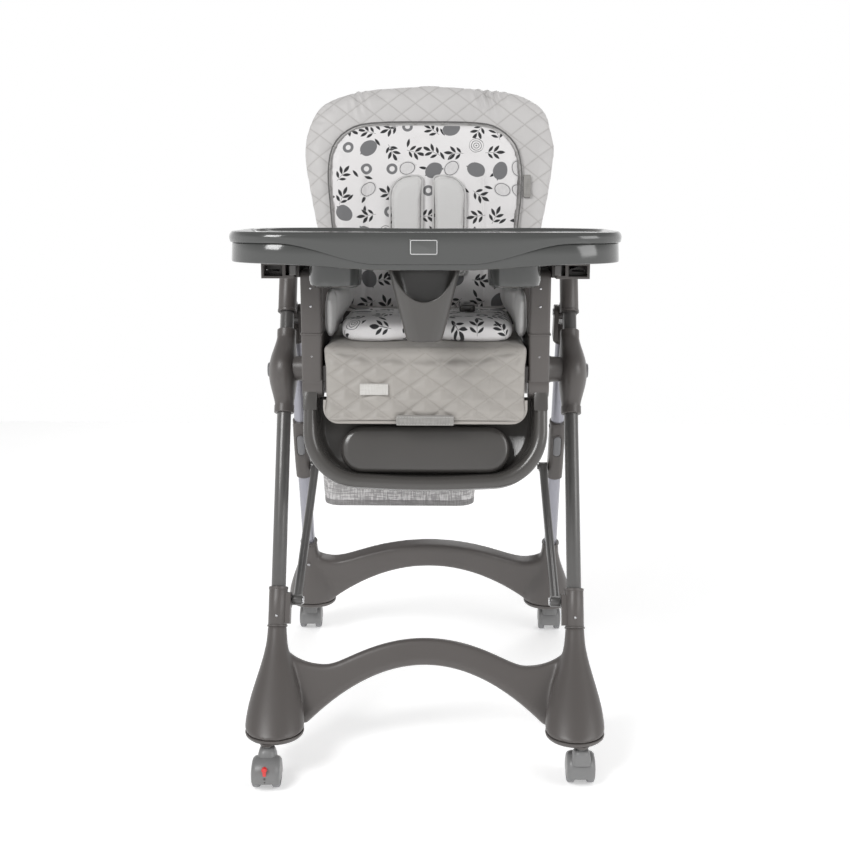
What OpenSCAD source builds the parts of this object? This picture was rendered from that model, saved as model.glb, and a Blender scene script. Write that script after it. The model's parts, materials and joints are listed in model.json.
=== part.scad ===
// A folding baby high chair on an A-frame of tubes with two arched, castered base bars.
// +X is the right side seen from the front, -Y is the front and +Z is up.
// The origin is on the floor, at the middle of the footprint.

/* [Frame] */
// Half the distance between the two front leg tubes
front_half = 247; // [235:1:260]
// Half the distance between the two rear leg tubes
rear_half = 240; // [232:1:242]
// Outside diameter of every leg tube
tube_d = 24; // [18:0.5:24.5]
// Backward lean of the front legs from upright
front_lean = 25; // [21:0.5:28]
// Forward lean of the rear legs from upright
rear_lean = 18.25; // [15:0.25:22]
// Where the front leg axis meets the floor, along Y
front_foot_y = -260; // [-290:1:-240]
// Distance of the folding pivot up the front leg
pivot_up = 778; // [700:1:860]
// Distance of the folding pivot behind the front leg axis
pivot_back = 26; // [25:0.5:32]
// How far the rear frame swings forward to fold
fold_angle = 34; // [10:1:34]
// Diameter of the folding and brace pins
frame_pin_d = 8; // [5:0.5:9]
// Diameter of the diagonal brace tubes
brace_d = 16; // [10:0.5:16]
// Distance of the brace's lower pin up the front leg
brace_up = 268; // [255:1:275]

/* [Bases] */
// Half the overall width of the base bars at the feet
base_half = 287; // [270:1:320]
// Height of the underside of the feet above the floor
foot_z = 66; // [62:1:76]
// Fore and aft thickness of the arched bars
arch_t = 36; // [24:1:44]
// Distance up the front leg at which the front socket ends
front_socket_up = 225; // [200:1:245]
// Distance up the rear leg line at which the rear socket ends
rear_socket_up = 222; // [200:1:250]

/* [Casters] */
// Diameter of the caster wheels
wheel_d = 46; // [36:1:50]
// Tread width of each of the two wheels in a caster
wheel_w = 12; // [8:0.5:14]
// Diameter of the caster stems
stem_d = 8; // [6:0.5:11]
// Trail of the wheel axle behind the caster stem
caster_trail = 12; // [6:1:16]
// Position of the front caster stems along Y
front_stem_y = -312; // [-330:1:-300]
// Position of the rear caster stems along Y
rear_stem_y = 314; // [300:1:330]

/* [Seat] */
// Half the outside width of the seat side frames
seat_half = 192.5; // [180:0.5:194]
// Thickness of the seat side frames
side_t = 32; // [20:0.5:36]
// Height of the seat pan's underside at the top setting
seat_z = 622; // [600:1:640]
// Height of the seat cushion
cushion_t = 34; // [20:1:40]
// Lean of the backrest from upright
back_lean = 17; // [8:1:30]
// Length of the backrest cushion
back_len = 426; // [360:1:460]
// Half the greatest width of the backrest cushion
back_half = 220; // [190:1:226]
// Height of the backrest hinge
back_hinge_z = 665; // [655:1:690]

/* [Tray] */
// Half the overall width of the tray
tray_half = 286; // [240:1:300]
// Depth of the tray from front to back
tray_depth = 330; // [280:1:350]
// Height of the middle of the tray's rim
tray_z = 856; // [850:1:890]
// Wall thickness of the moulded tray
tray_wall = 3; // [2:0.5:5]
// Radius of the cup wells
cup_r = 35; // [25:1:37]
// Depth of the cup wells below the rim
cup_depth = 78; // [60:1:80]

/* [Footrest] */
// Height of the footrest hinge
foot_hinge_z = 615; // [606:1:622]
// Forward tilt of the footrest from upright
foot_tilt = 18; // [5:1:25]
// Length of the footrest below its hinge
foot_len = 155; // [120:1:190]
// Width of the footrest rim
foot_rim = 22; // [16:1:28]
// Depth of the footrest dish
foot_depth = 52; // [36:1:60]

/* [Fits] */
// Radial clearance of pins and of tubes in their sockets
fit = 0.05; // [0.02:0.01:0.1]
// Radial clearance of the seat sleeves on the legs
slide_fit = 0.1; // [0.05:0.01:0.1]
// Gap between soft pieces and their neighbours
soft_gap = 1; // [0.5:0.1:3]

/* [Hidden] */
$fn = 48;
left = -1;
right = 1;

tube_r = tube_d / 2;
wall = 4;                       // wall of the sleeves, collars and knuckles
plastic = [0.40, 0.39, 0.38];
gloss = [0.33, 0.33, 0.33];
steel = [0.60, 0.60, 0.63];
dark = [0.22, 0.22, 0.22];
light = [0.78, 0.77, 0.76];
quilt = [0.65, 0.63, 0.61];
print = [0.90, 0.89, 0.88];

// The folding pivot, from the front leg
pivot_y = front_foot_y + pivot_up * sin(front_lean) + pivot_back * cos(front_lean);
pivot_z = pivot_up * cos(front_lean) - pivot_back * sin(front_lean);
rear_len = pivot_z / cos(rear_lean);          // from the pivot down to the floor
front_top = pivot_up + 66;                    // top end of the front tubes

// Brace geometry, side view: lower pin on the front leg, upper end at the lock slider
brace_back = 12;                              // the lower pin's distance behind the leg axis
low_y = front_foot_y + brace_up * sin(front_lean) + brace_back * cos(front_lean);
low_z = brace_up * cos(front_lean) - brace_back * sin(front_lean);
slider_down = 322;                            // slider pin below the folding pivot
slider_fore = 10;                             // slider pin in front of the rear tube axis
high_y = pivot_y + slider_down * sin(rear_lean) - slider_fore * cos(rear_lean);
high_z = pivot_z - slider_down * cos(rear_lean) - slider_fore * sin(rear_lean);
brace_len = norm([high_y - low_y, high_z - low_z]);
brace_angle = atan2(high_z - low_z, high_y - low_y);
slider_half = tube_r + 2;                     // half width of the lock sliders
brace_in = rear_half - slider_half - 1.5;     // outer face of the braces, along X
slider_up = 100;                              // slider body above its pin
slider_low = 24;                              // slider body below its pin

hub_up = 664;                                 // middle of the seat carriage on the leg
hub_y = front_foot_y + hub_up * sin(front_lean);
hub_z = hub_up * cos(front_lean);
hub_r = 60;                                   // radius of the carriage's outer dome
disc_r = 40;                                  // round cheek of the side frame at the carriage
dome_x = rear_half + slider_half + 0.8;       // inner face of the carriage's outer dome
dome_h = 20;
sleeve_r = tube_r + wall;
button_r = 13;                                // height button in the dome
button_travel = 4;

// Seat places
post_y = -198;                                // front face of the side posts
pan_t = 26;                                   // thickness of the seat pan
pan_top = seat_z + pan_t;
cushion_top = pan_top + soft_gap + cushion_t;
arm_z = 798;                                  // top of the armrests
inner_half = seat_half - side_t;              // inner faces of the side frames
back_hinge_y = 62;
hinge_pin_d = 8;
foot_hinge_y = post_y + 15;
cheek_t = 8;                                  // inner cheek of a side post at the footrest hinge

module side(s) { if (s > 0) children(); else mirror([1, 0, 0]) children(); }
module in_front_leg() translate([0, front_foot_y, 0]) rotate([-front_lean, 0, 0]) children();
module in_rear_leg() translate([0, pivot_y, pivot_z]) rotate([rear_lean, 0, 0]) children();
module in_backrest() translate([0, back_hinge_y, back_hinge_z]) rotate([-back_lean, 0, 0]) children();
module in_footrest() translate([0, foot_hinge_y, foot_hinge_z]) rotate([-foot_tilt, 0, 0]) children();
tray_tilt = 3;
tray_y = -158;
module in_tray() translate([0, tray_y, tray_z]) rotate([-tray_tilt, 0, 0]) children();

// A cylinder along X from x0 to x1
module along_x(r, x0, x1) translate([x0, 0, 0]) rotate([0, 90, 0]) cylinder(r = r, h = x1 - x0);
// A box given by its two corners
module block(a, b) translate(a) cube(b - a);
// A rectangle with true round corners, centred
module round_rect(w, h, r) {
    square([w - 2 * r, h], center = true);
    square([w, h - 2 * r], center = true);
    for (x = [-1, 1], y = [-1, 1]) translate([x * (w / 2 - r), y * (h / 2 - r)]) circle(r);
}

// ---- bases ----------------------------------------------------------------

valley_x = 190;                               // where the arch meets the foot
function arch_top(x, crown, valley) = crown - (crown - valley) * pow(x / valley_x, 2);
function arch_low(x, soffit, drop) = soffit - drop * pow(x / (valley_x + 4), 2);
// Outline of an arched bar in the plane of its legs, with the sweep up to each socket.
// crown and soffit are its top and underside at the middle, valley the top beside the sockets,
// drop how far the underside falls to the feet
module arch_outline(crown, valley, soffit, drop, socket, half) {
    rise = socket - 12 - valley;
    run = half - 8 - valley_x;
    over = [for (i = [-10:10]) [i * valley_x / 10, arch_top(i * valley_x / 10, crown, valley)]];
    flank = [for (t = [15:15:90]) [valley_x + run * sin(t), valley + rise * (1 - cos(t))]];
    flank_left = [for (t = [90:-15:15]) [-valley_x - run * sin(t), valley + rise * (1 - cos(t))]];
    under = [for (i = [10:-1:-10]) [i * (valley_x + 4) / 10,
        arch_low(i * (valley_x + 4) / 10, soffit, drop)]];
    polygon(concat(flank_left, over, flank, [[half, soffit - drop]], under,
        [[-half, soffit - drop]]));
}
foot_rx = base_half - valley_x - 3;           // the foot's full width from valley to outside
foot_x = base_half - foot_rx / 2;             // middle of the foot
module foot(socket_y, socket_z, socket_x, lean, foot_y) {
    hull() {
        translate([socket_x, socket_y, socket_z]) rotate([lean, 0, 0])
            translate([0, 0, -6]) cylinder(r = tube_r + wall, h = 6, $fn = 32);
        translate([foot_x, foot_y, foot_z]) scale([1, 0.96, 1]) cylinder(r = foot_rx / 2 - 4, h = 3);
        translate([foot_x, foot_y, foot_z + 10]) scale([1, 0.96, 1]) cylinder(r = foot_rx / 2, h = 8);
    }
}
stem_bore = 15;                               // depth of the stem's hole in the foot
front_foot_mid = front_stem_y + 30;
rear_foot_mid = rear_stem_y - 18;

module front_base() color(plastic) difference() {
    union() {
        in_front_leg() translate([0, arch_t / 2, 0]) rotate([90, 0, 0]) linear_extrude(arch_t)
            arch_outline(front_socket_up - 19, front_socket_up - 63, front_socket_up - 63, 95,
                front_socket_up, front_half - tube_r);
        for (s = [left, right]) side(s)
            foot(front_foot_y + front_socket_up * sin(front_lean), front_socket_up * cos(front_lean),
                front_half, -front_lean, front_foot_mid);
    }
    for (s = [left, right]) side(s) {
        in_front_leg() translate([front_half, 0, front_tube_low])
            cylinder(r = tube_r + fit, h = front_socket_up);
        translate([front_half, front_stem_y, foot_z - 1]) cylinder(r = stem_d / 2 + fit, h = stem_bore + 1);
    }
}
socket_len = 75;                              // length of tube held in each base socket
front_tube_low = front_socket_up - socket_len;
rear_tube_low = rear_socket_up - socket_len;
module rear_base() color(plastic) difference() {
    union() {
        in_rear_leg() translate([0, arch_t / 2, -rear_len]) rotate([90, 0, 0]) linear_extrude(arch_t)
            arch_outline(rear_socket_up, rear_socket_up - 41, rear_socket_up - 51, 84,
                rear_socket_up, rear_half - tube_r);
        for (s = [left, right]) side(s)
            foot(pivot_y + (rear_len - rear_socket_up) * sin(rear_lean), rear_socket_up * cos(rear_lean),
                rear_half, rear_lean, rear_foot_mid);
    }
    for (s = [left, right]) side(s) {
        in_rear_leg() translate([rear_half, 0, rear_tube_low - rear_len])
            cylinder(r = tube_r + fit, h = rear_socket_up);
        translate([front_half, rear_stem_y, foot_z - 1]) cylinder(r = stem_d / 2 + fit, h = stem_bore + 1);
    }
}

// ---- leg tubes, collars, knuckles -----------------------------------------

tube_wall = 1.5;
module tube(r, low, high) difference() {
    translate([0, 0, low]) cylinder(r = r, h = high - low);
    translate([0, 0, low - 1]) cylinder(r = r - tube_wall, h = high - low + 2);
}
module front_tube(s) color(plastic) side(s) in_front_leg() translate([front_half, 0, 0])
    tube(tube_r, front_tube_low, front_top);
module rear_tube(s) color(steel) side(s) in_rear_leg() translate([rear_half, 0, 0])
    tube(tube_r, rear_tube_low - rear_len, -22);

collar_len = brace_up + 20 - front_socket_up;
lug_x = brace_in + 1.2;                       // inner face of the brace lug
module front_collar(s) color(plastic) side(s) in_front_leg() difference() {
    union() {
        translate([front_half, 0, front_socket_up + 0.2]) cylinder(r = sleeve_r - 0.5, h = collar_len);
        translate([0, brace_back, brace_up]) along_x(13, lug_x, front_half - tube_r);
        block([lug_x, -8, front_socket_up + 3], [front_half - tube_r, brace_back, brace_up + 10]);
    }
    translate([front_half, 0, front_socket_up - 1]) cylinder(r = tube_r + fit, h = collar_len + 3);
    translate([0, brace_back, brace_up]) along_x(frame_pin_d / 2 + fit, lug_x - 1, front_half);
}

knuckle_low = pivot_up - 10;                  // lower end of the front knuckle sleeve
ear_r = 13;                                   // round ends of the knuckles at the pivot
tongue_in = rear_half - tube_r - 5.5;         // inner face of the rear knuckle's tongue
tongue_out = front_half - sleeve_r - 0.5;     // its outer face, beside the front sleeve
module front_knuckle(s) color(plastic) side(s) in_front_leg() difference() {
    union() {
        translate([front_half, 0, knuckle_low]) cylinder(r = sleeve_r, h = front_top - knuckle_low + 4);
        translate([front_half, 0, front_top + 4]) cylinder(r1 = sleeve_r, r2 = sleeve_r - 3, h = 3);
        translate([0, pivot_back, pivot_up]) along_x(ear_r, tongue_out + 1.2, front_half + 14);
        block([tongue_out + 1.2, 2, knuckle_low], [front_half + 14, pivot_back, pivot_up + ear_r]);
    }
    translate([front_half, 0, knuckle_low - 1]) cylinder(r = tube_r + fit, h = front_top - knuckle_low + 1);
    translate([0, pivot_back, pivot_up]) along_x(frame_pin_d / 2 + fit, tongue_out, front_half + 15);
}
module rear_knuckle(s) color(plastic) side(s) in_rear_leg() difference() {
    union() {
        translate([rear_half, 0, -58]) cylinder(r = tube_r + 3, h = 40);
        along_x(ear_r, tongue_in, tongue_out);
        block([tongue_in, -ear_r, -52], [tongue_out, ear_r, 0]);
    }
    translate([rear_half, 0, -59]) cylinder(r = tube_r + fit, h = 37 + fit);
    along_x(frame_pin_d / 2 + fit, tongue_in - 1, tongue_out + 1);
}
module frame_pins() color(steel) for (s = [left, right]) side(s) {
    in_front_leg() translate([0, pivot_back, pivot_up]) {
        along_x(frame_pin_d / 2, tongue_in - 0.5, front_half + 14.5);
        along_x(frame_pin_d / 2 + 2.5, tongue_in - 2.5, tongue_in - 0.4);
    }
    in_front_leg() translate([0, brace_back, brace_up]) {
        along_x(frame_pin_d / 2, brace_in - brace_d - 0.5, front_half - tube_r - 1.6);
        along_x(frame_pin_d / 2 + 2.5, brace_in - brace_d - 3, brace_in - brace_d - 0.4);
    }
}

// ---- folding lock and braces ----------------------------------------------

fold_button_w = 14;
fold_button_l = 44;
fold_travel = 2;                              // how far the fold button presses in
fold_button_z = 52 - slider_down;             // middle of the button on the rear leg
slider_back = tube_r + 4;                     // slider faces behind and before the tube axis
slider_front = tube_r + 6;
pocket = 4;                                   // depth of the button's pocket
// A plate with round ends standing in X and Z, its thickness towards -Y
module oblong(w, l, t) rotate([90, 0, 0]) linear_extrude(t) round_rect(w, l, w / 2 - 0.01);
module lock_slider(s) color(plastic) side(s) in_rear_leg() difference() {
    translate([rear_half, (slider_back - slider_front) / 2, -slider_down - slider_low])
        linear_extrude(slider_low + slider_up)
            round_rect(2 * slider_half, slider_back + slider_front, 9);
    translate([rear_half, 0, -slider_down - slider_low - 1])
        cylinder(r = tube_r + fit, h = slider_low + slider_up + 2);
    translate([rear_half, -slider_front + pocket, fold_button_z])
        oblong(fold_button_w + 0.6, fold_button_l + 0.6, pocket + 1);
}
module fold_button(s) color(steel) side(s) in_rear_leg()
    translate([rear_half, -slider_front + pocket - fold_travel - 0.2, fold_button_z])
        oblong(fold_button_w, fold_button_l, 3.2);
module in_brace() translate([0, low_y, low_z]) rotate([brace_angle - 90, 0, 0]) children();
module brace(s) color(steel) side(s) in_brace() difference() {
    union() {
        translate([brace_in - brace_d / 2, 0, 0]) cylinder(d = brace_d - 1, h = brace_len);
        along_x(brace_d / 2 + 1, brace_in - brace_d, brace_in);
        translate([0, 0, brace_len]) along_x(brace_d / 2 + 1, brace_in - brace_d, brace_in);
        translate([0, 0, brace_len]) along_x(5, brace_in - brace_d - 3, brace_in - brace_d + 1);
    }
    along_x(frame_pin_d / 2 + fit, brace_in - brace_d - 1, brace_in + 1);
}

// ---- seat carriage ---------------------------------------------------------

carriage_low = hub_up - 77;
carriage_high = hub_up + 72;
boss_x = seat_half + 0.2;                     // the side frame's outer face, which the boss meets
module dome() {                               // a shallow cap of a sphere on the outer side
    ball_r = (hub_r * hub_r + dome_h * dome_h) / (2 * dome_h);
    translate([dome_x, 0, hub_up]) rotate([0, 90, 0]) rotate_extrude($fn = 96) intersection() {
        translate([0, dome_h - ball_r]) circle(r = ball_r, $fn = 192);
        square([hub_r + 1, dome_h + 1]);
    }
}
module carriage(s) color(plastic) side(s) in_front_leg() difference() {
    union() {
        translate([front_half, 0, carriage_low]) cylinder(r = sleeve_r + 0.5, h = 24);
        translate([front_half, 0, carriage_low]) cylinder(r = sleeve_r, h = carriage_high - carriage_low);
        dome();
        translate([0, -12, hub_up]) along_x(26, boss_x, front_half - tube_r - 1.5);
    }
    translate([front_half, 0, carriage_low - 1])
        cylinder(r = tube_r + slide_fit, h = carriage_high - carriage_low + 2);
    translate([0, 0, hub_up]) along_x(button_r + 0.3, dome_x + dome_h - 8, dome_x + dome_h + 1);
}
module height_button(s) color(dark) side(s) in_front_leg() translate([0, 0, hub_up])
    along_x(button_r, dome_x + dome_h - 8 + button_travel + 0.5, dome_x + dome_h + 1.5);

// ---- seat shell and side frames -------------------------------------------

arm_t = 30;                                   // height of the armrest bar
post_w = 34;                                  // fore and aft width of the front post
module side_profile() {                       // in Y and Z
    translate([post_y, seat_z]) square([post_w, arm_z - seat_z]);
    translate([post_y, arm_z - arm_t]) square([200, arm_t]);
    translate([post_y, seat_z]) square([back_hinge_y + 10 - post_y, 70]);
    translate([hub_y, hub_z]) circle(disc_r);
    translate([post_y + 200, arm_z - arm_t / 2]) circle(arm_t / 2);
    translate([10, seat_z]) square([30, arm_z - seat_z - arm_t / 2]);
    translate([back_hinge_y, back_hinge_z]) circle(24);
}
module side_frame(s) color(plastic) side(s) difference() {
    union() {
        translate([inner_half, 0, 0]) rotate([90, 0, 90]) linear_extrude(side_t) side_profile();
        translate([0, foot_hinge_y, foot_hinge_z]) along_x(13, inner_half, inner_half + cheek_t);
    }
    // room for the footrest's arm outside the cheek
    translate([0, foot_hinge_y, foot_hinge_z]) along_x(20, inner_half + cheek_t - 0.01, seat_half + 1);
    translate([0, foot_hinge_y, foot_hinge_z])
        along_x(hinge_pin_d / 2 + fit, inner_half - 1, seat_half + 1);
    translate([0, back_hinge_y, back_hinge_z])
        along_x(hinge_pin_d / 2 + fit, inner_half - 1, inner_half + 16);
}
module seat_shell() color(plastic) {
    block([-inner_half + 0.2, post_y + 6, seat_z], [inner_half - 0.2, 34, pan_top]);
    for (s = [left, right]) side(s)
        block([inner_half - 22, 20, seat_z - 14], [inner_half - 0.2, 32, seat_z + 1]);
}
// A cushion lying flat, from y0 to y1 and half wide to each side
module mat(half, y0, y1, t, r) translate([0, (y0 + y1) / 2, 0]) linear_extrude(t)
    round_rect(2 * half, y1 - y0, r);
roll = 22;                                    // overhang of the seat cushion at the front
insert_t = 34;
insert_in = 35;                               // how far the insert stays inside the side frames
wing_t = 28;
wing_h = 84;
module seat_cushion() color(quilt) translate([0, 0, pan_top + soft_gap])
    mat(inner_half - soft_gap, post_y - roll, 30, cushion_t, 18);
module insert_seat() color(print) translate([0, 0, cushion_top + soft_gap])
    mat(inner_half - insert_in, post_y + 6, 12, insert_t, 30);
module side_wings() color(light) for (s = [left, right]) side(s)
    translate([inner_half - soft_gap - wing_t, (post_y + 22) / 2, cushion_top + soft_gap + wing_h / 2])
        rotate([90, 0, 90]) linear_extrude(wing_t) round_rect(-6 - post_y, wing_h, 30);
module buckle() color(dark) translate([66, -80, cushion_top + 2 * soft_gap + insert_t])
    linear_extrude(14) round_rect(26, 40, 6);

basket_x = [-183, 86];
basket_y = [-45, 130];
basket_z = [362, seat_z - 0.2];
basket_wall = 3;
basket_mouth = 90;                            // height of the rear wall, below the mouth
module basket() color(light) {
    mid = [(basket_x[0] + basket_x[1]) / 2, (basket_y[0] + basket_y[1]) / 2, basket_z[0]];
    size = [basket_x[1] - basket_x[0], basket_y[1] - basket_y[0]];
    translate(mid) difference() {
        linear_extrude(basket_z[1] - basket_z[0]) round_rect(size[0], size[1], 22);
        translate([0, 0, basket_wall]) linear_extrude(basket_z[1] - basket_z[0])
            round_rect(size[0] - 2 * basket_wall, size[1] - 2 * basket_wall, 20);
        translate([-size[0] / 2 - 1, 0, basket_mouth]) cube([size[0] + 2, size[1], basket_z[1]]);
        translate([-mid[0], hub_y - mid[1], hub_z - mid[2]])
            along_x(disc_r + soft_gap, -seat_half - 1, -inner_half + soft_gap);
    }
}

// ---- backrest ---------------------------------------------------------------

shell_y = 8;                                  // front face of the backrest shell
shell_t = 16;                                 // its thickness
back_low = 26;                                // lower edge of the cushion above the hinge
module back_outline(grow) hull() {
    translate([0, back_low + 30 - grow]) square([2 * (inner_half - 4 + grow) - 14, 0.1], center = true);
    for (s = [-1, 1]) {
        translate([s * (back_half - 90 + grow), back_len - 78 + grow]) circle(90 - 2);
        translate([s * (back_half - 60 + grow), back_len - 108 + grow]) circle(60);
        translate([s * (inner_half + 16 + grow), back_len * 0.38]) circle(12);
    }
}
module backrest_shell() color(plastic) in_backrest() difference() {
    union() {
        translate([0, shell_y + shell_t, 0]) rotate([90, 0, 0]) linear_extrude(shell_t) back_outline(-10);
        for (s = [left, right]) side(s) {
            along_x(12, inner_half - 20, inner_half - 1);
            block([inner_half - 20, 0, 0], [inner_half - 1, shell_y + shell_t, back_low - soft_gap]);
            block([inner_half - 20, shell_y, 0], [inner_half - 1, shell_y + shell_t, back_low + 40]);
        }
        block([-inner_half + 20, shell_y, back_low - 10],
            [inner_half - 20, shell_y + shell_t, back_low + 50]);
    }
    for (s = [left, right]) side(s) along_x(hinge_pin_d / 2 + fit, inner_half - 21, inner_half);
    block([-handle_l / 2 - 1, shell_y + shell_t - 10, handle_z - handle_travel / 2 - 8],
        [handle_l / 2 + 1, shell_y + shell_t + 1, handle_z + handle_travel / 2 + 8]);
}
module backrest_pins() color(steel) for (s = [left, right]) side(s)
    translate([0, back_hinge_y, back_hinge_z]) along_x(hinge_pin_d / 2, inner_half - 19, inner_half + 15);
handle_z = 300;                               // middle of the recline handle above the hinge
handle_l = 90;
handle_travel = 8;                            // how far it is squeezed up
module recline_handle() color(dark) in_backrest()
    translate([0, shell_y + shell_t + 8, handle_z - handle_travel / 2]) rotate([0, 90, 0]) {
        translate([0, 0, -handle_l / 2]) cylinder(r = 7, h = handle_l);
        for (x = [-1, 1]) translate([-6, -16 + 0.5, x * (handle_l / 2 - 8) - 5]) cube([12, 16, 10]);
    }
module back_cushion() color(light) in_backrest()
    translate([0, shell_y - soft_gap, 0]) rotate([90, 0, 0]) linear_extrude(cushion_y)
        intersection() {
            back_outline(0);
            translate([-back_half - 5, back_low]) square([2 * back_half + 10, back_len + 30]);
        }
cushion_y = 30;                               // thicknesses of the back cushion and its insert
insert_y = 13;
// A flat pad standing against the backrest, its back at y, up the backrest by z
module back_pad(x, y, z, w, h, t, r) translate([x, y, z]) rotate([90, 0, 0]) linear_extrude(t)
    round_rect(w, h, r);
module insert_back() color(print) in_backrest()
    back_pad(0, shell_y - 2 * soft_gap - cushion_y, 200, 300, 320, insert_y, 45);
module shoulder_pads() color(light) in_backrest() for (x = [-38, 38])
    back_pad(x, shell_y - 3 * soft_gap - cushion_y - insert_y, 190, 56, 200, 8, 12);

// ---- footrest ----------------------------------------------------------------

rim_half = seat_half - 0.8;
foot_front = 14;                              // the rim's front face before the hinge
// A rectangle hanging from the hinge line with its two lower corners rounded
module dish_outline(half, low, r) {
    translate([-half, low + r]) square([2 * half, -low - r]);
    translate([-half + r, low]) square([2 * (half - r), r + 1]);
    for (s = [-1, 1]) translate([s * (half - r), low + r]) circle(r);
}
module footrest_dish() color(plastic) in_footrest() difference() {
    union() {
        translate([0, foot_depth - foot_front, 0]) rotate([90, 0, 0])
            linear_extrude(foot_depth) difference() {
                dish_outline(rim_half, -foot_len, 78);
                translate([-rim_half + foot_rim, -28]) square([2 * (rim_half - foot_rim), 40]);
                translate([-rim_half - 1, -12]) square([2 * rim_half + 2, 20]);
            }
        for (s = [left, right]) side(s) {
            along_x(14, inner_half + cheek_t + 0.4, rim_half);
            block([inner_half + cheek_t + 0.4, -foot_front, -30], [rim_half, 14, 0]);
        }
    }
    translate([0, foot_depth - foot_front - 4, 0]) rotate([90, 0, 0])
        linear_extrude(foot_depth) intersection() {
            dish_outline(rim_half - foot_rim, -foot_len + foot_rim - 2, 56);
            translate([-rim_half, -foot_len]) square([2 * rim_half, foot_len - 26]);
        }
    for (s = [left, right]) side(s)
        along_x(hinge_pin_d / 2 + fit, inner_half + cheek_t - 1, rim_half - 6);
}
plate_w = 268;                                // the raised plate under the child's feet
plate_l = 74;
module foot_plate() color(plastic) in_footrest()
    translate([0, foot_depth - foot_front - 4, -foot_len + foot_rim + plate_l / 2 + 1])
        rotate([90, 0, 0]) linear_extrude(26) round_rect(plate_w, plate_l, 36);
module footrest_pins() color(steel) for (s = [left, right]) side(s)
    translate([0, foot_hinge_y, foot_hinge_z]) along_x(hinge_pin_d / 2, inner_half + 0.5, rim_half - 8);
module leg_pad() color(quilt) in_footrest()
    back_pad(0, -foot_front - 0.5, -34, 2 * (inner_half - 1), 44, 14, 16);

// ---- tray ----------------------------------------------------------------------

tray_corner = 95;
module tray_outline(grow) difference() {
    hull() for (x = [-1, 1], y = [-1, 1])
        translate([x * (tray_half - tray_corner), y * (tray_depth / 2 - tray_corner)])
            circle(tray_corner + grow, $fn = 64);
    translate([0, tray_depth / 2 + 118]) circle(170 - grow);      // the hollow at the child's waist
}
cup_x = 133;
cup_y = -85;
skirt = 46;                                   // depth of the tray's skirt
deck_z = -14;                                 // joint between the insert and the base
well_half = 91;                               // half width of the main recess
module well_outline(grow) translate([0, -25]) round_rect(2 * (well_half + grow), 190 + 2 * grow, 30);
module cup_places() for (s = [-1, 1]) translate([s * cup_x, cup_y]) children();
module tray_base() color(gloss) in_tray() difference() {
    union() {
        translate([0, 0, -skirt]) linear_extrude(skirt + deck_z) difference() {
            tray_outline(0);
            tray_outline(-tray_wall);
        }
        translate([0, 0, deck_z - tray_wall]) linear_extrude(tray_wall) tray_outline(-1);
        translate([0, 0, -56]) linear_extrude(56 + deck_z - 1) well_outline(tray_wall + 1);
        cup_places() translate([0, 0, -cup_depth - tray_wall - 2])
            cylinder(r = cup_r + 2 * tray_wall + 1, h = cup_depth + deck_z + tray_wall + 1);
    }
    translate([0, 0, -53]) linear_extrude(60) well_outline(1);
    cup_places() translate([0, 0, -cup_depth - 1]) cylinder(r = cup_r + tray_wall + 1, h = cup_depth + 10);
}
recess = 40;                                  // depth of the main recess
module tray_insert() color(gloss) in_tray() difference() {
    union() {
        translate([0, 0, deck_z + 0.3]) linear_extrude(-deck_z - 0.3) tray_outline(0);
        translate([0, 0, -recess]) linear_extrude(recess - 1) well_outline(0);
        cup_places() translate([0, 0, -cup_depth]) cylinder(r = cup_r + tray_wall, h = cup_depth - 1);
    }
    translate([0, 0, -6]) linear_extrude(7) tray_outline(-8);
    translate([0, 0, -recess + tray_wall]) linear_extrude(recess) well_outline(-tray_wall);
    cup_places() translate([0, 0, -cup_depth + tray_wall]) cylinder(r = cup_r, h = cup_depth);
}
rail_z = [-72, -skirt - 0.2];
rail_y = [-60, 90];
rail_in = seat_half + 1;
rail_out = (seat_half + tray_half) / 2 + 8.75;      // reaches past halfway to the tray's edge
latch_w = 12;
module tray_rail(s) color(plastic) side(s) in_tray() difference() {
    union() {
        block([rail_in, rail_y[0], rail_z[0]], [rail_out, rail_y[1], rail_z[1]]);
        block([rail_in + 8, rail_y[0] + 20, rail_z[1] - 1],
            [rail_out - 6, rail_y[1] - 20, deck_z - tray_wall - 0.2]);
    }
    block([rail_in - 1, rail_y[0] - 1, rail_z[0] + 3],
        [rail_in + latch_w + 5, rail_y[0] + 30, rail_z[1] - 3]);
    block([rail_in + 22, rail_y[0] - 1, rail_z[0] + 4], [rail_out - 4, rail_y[0] + 40, rail_z[1] - 5]);
}
module tray_latch(s) color(plastic) side(s) in_tray()
    block([rail_in + 0.2, rail_y[0] - 2, rail_z[0] + 3.4],
        [rail_in + latch_w - 0.4, rail_y[0] + 29, rail_z[1] - 3.4]);
post_top = -56.2;                             // under the base of the main recess
module crotch_post() color(plastic) in_tray() translate([0, -118, 0]) difference() {
    hull() {
        translate([0, 0, post_top - 2]) linear_extrude(2) round_rect(104, 58, 24);
        translate([0, 2, post_top - 60]) linear_extrude(1) round_rect(70, 50, 20);
        translate([0, 6, post_top - 102]) linear_extrude(1) round_rect(52, 42, 16);
    }
    hull() {
        translate([0, -3, post_top - 1]) linear_extrude(2) round_rect(94, 60, 22);
        translate([0, -3, post_top - 42]) linear_extrude(1) round_rect(50, 44, 18);
    }
    translate([-40, -40, post_top - 24]) cube([80, 24, 30]);
}
module badge() color(dark) in_tray()
    translate([0, -tray_depth / 2 - 0.2, deck_z / 2 - 0.2]) rotate([90, 0, 0])
        linear_extrude(1.6) round_rect(44, 12, 2);

// ---- casters ---------------------------------------------------------------------

axle_z = wheel_d / 2;
hood_r = wheel_d / 2 + 4;
web_half = 8.5;                               // half width of the web between the wheels
wheel_in = web_half + 1;
hood_half = wheel_in + wheel_w + 0.5;
hood_top = foot_z - 5;
axle_r = 3;
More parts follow.
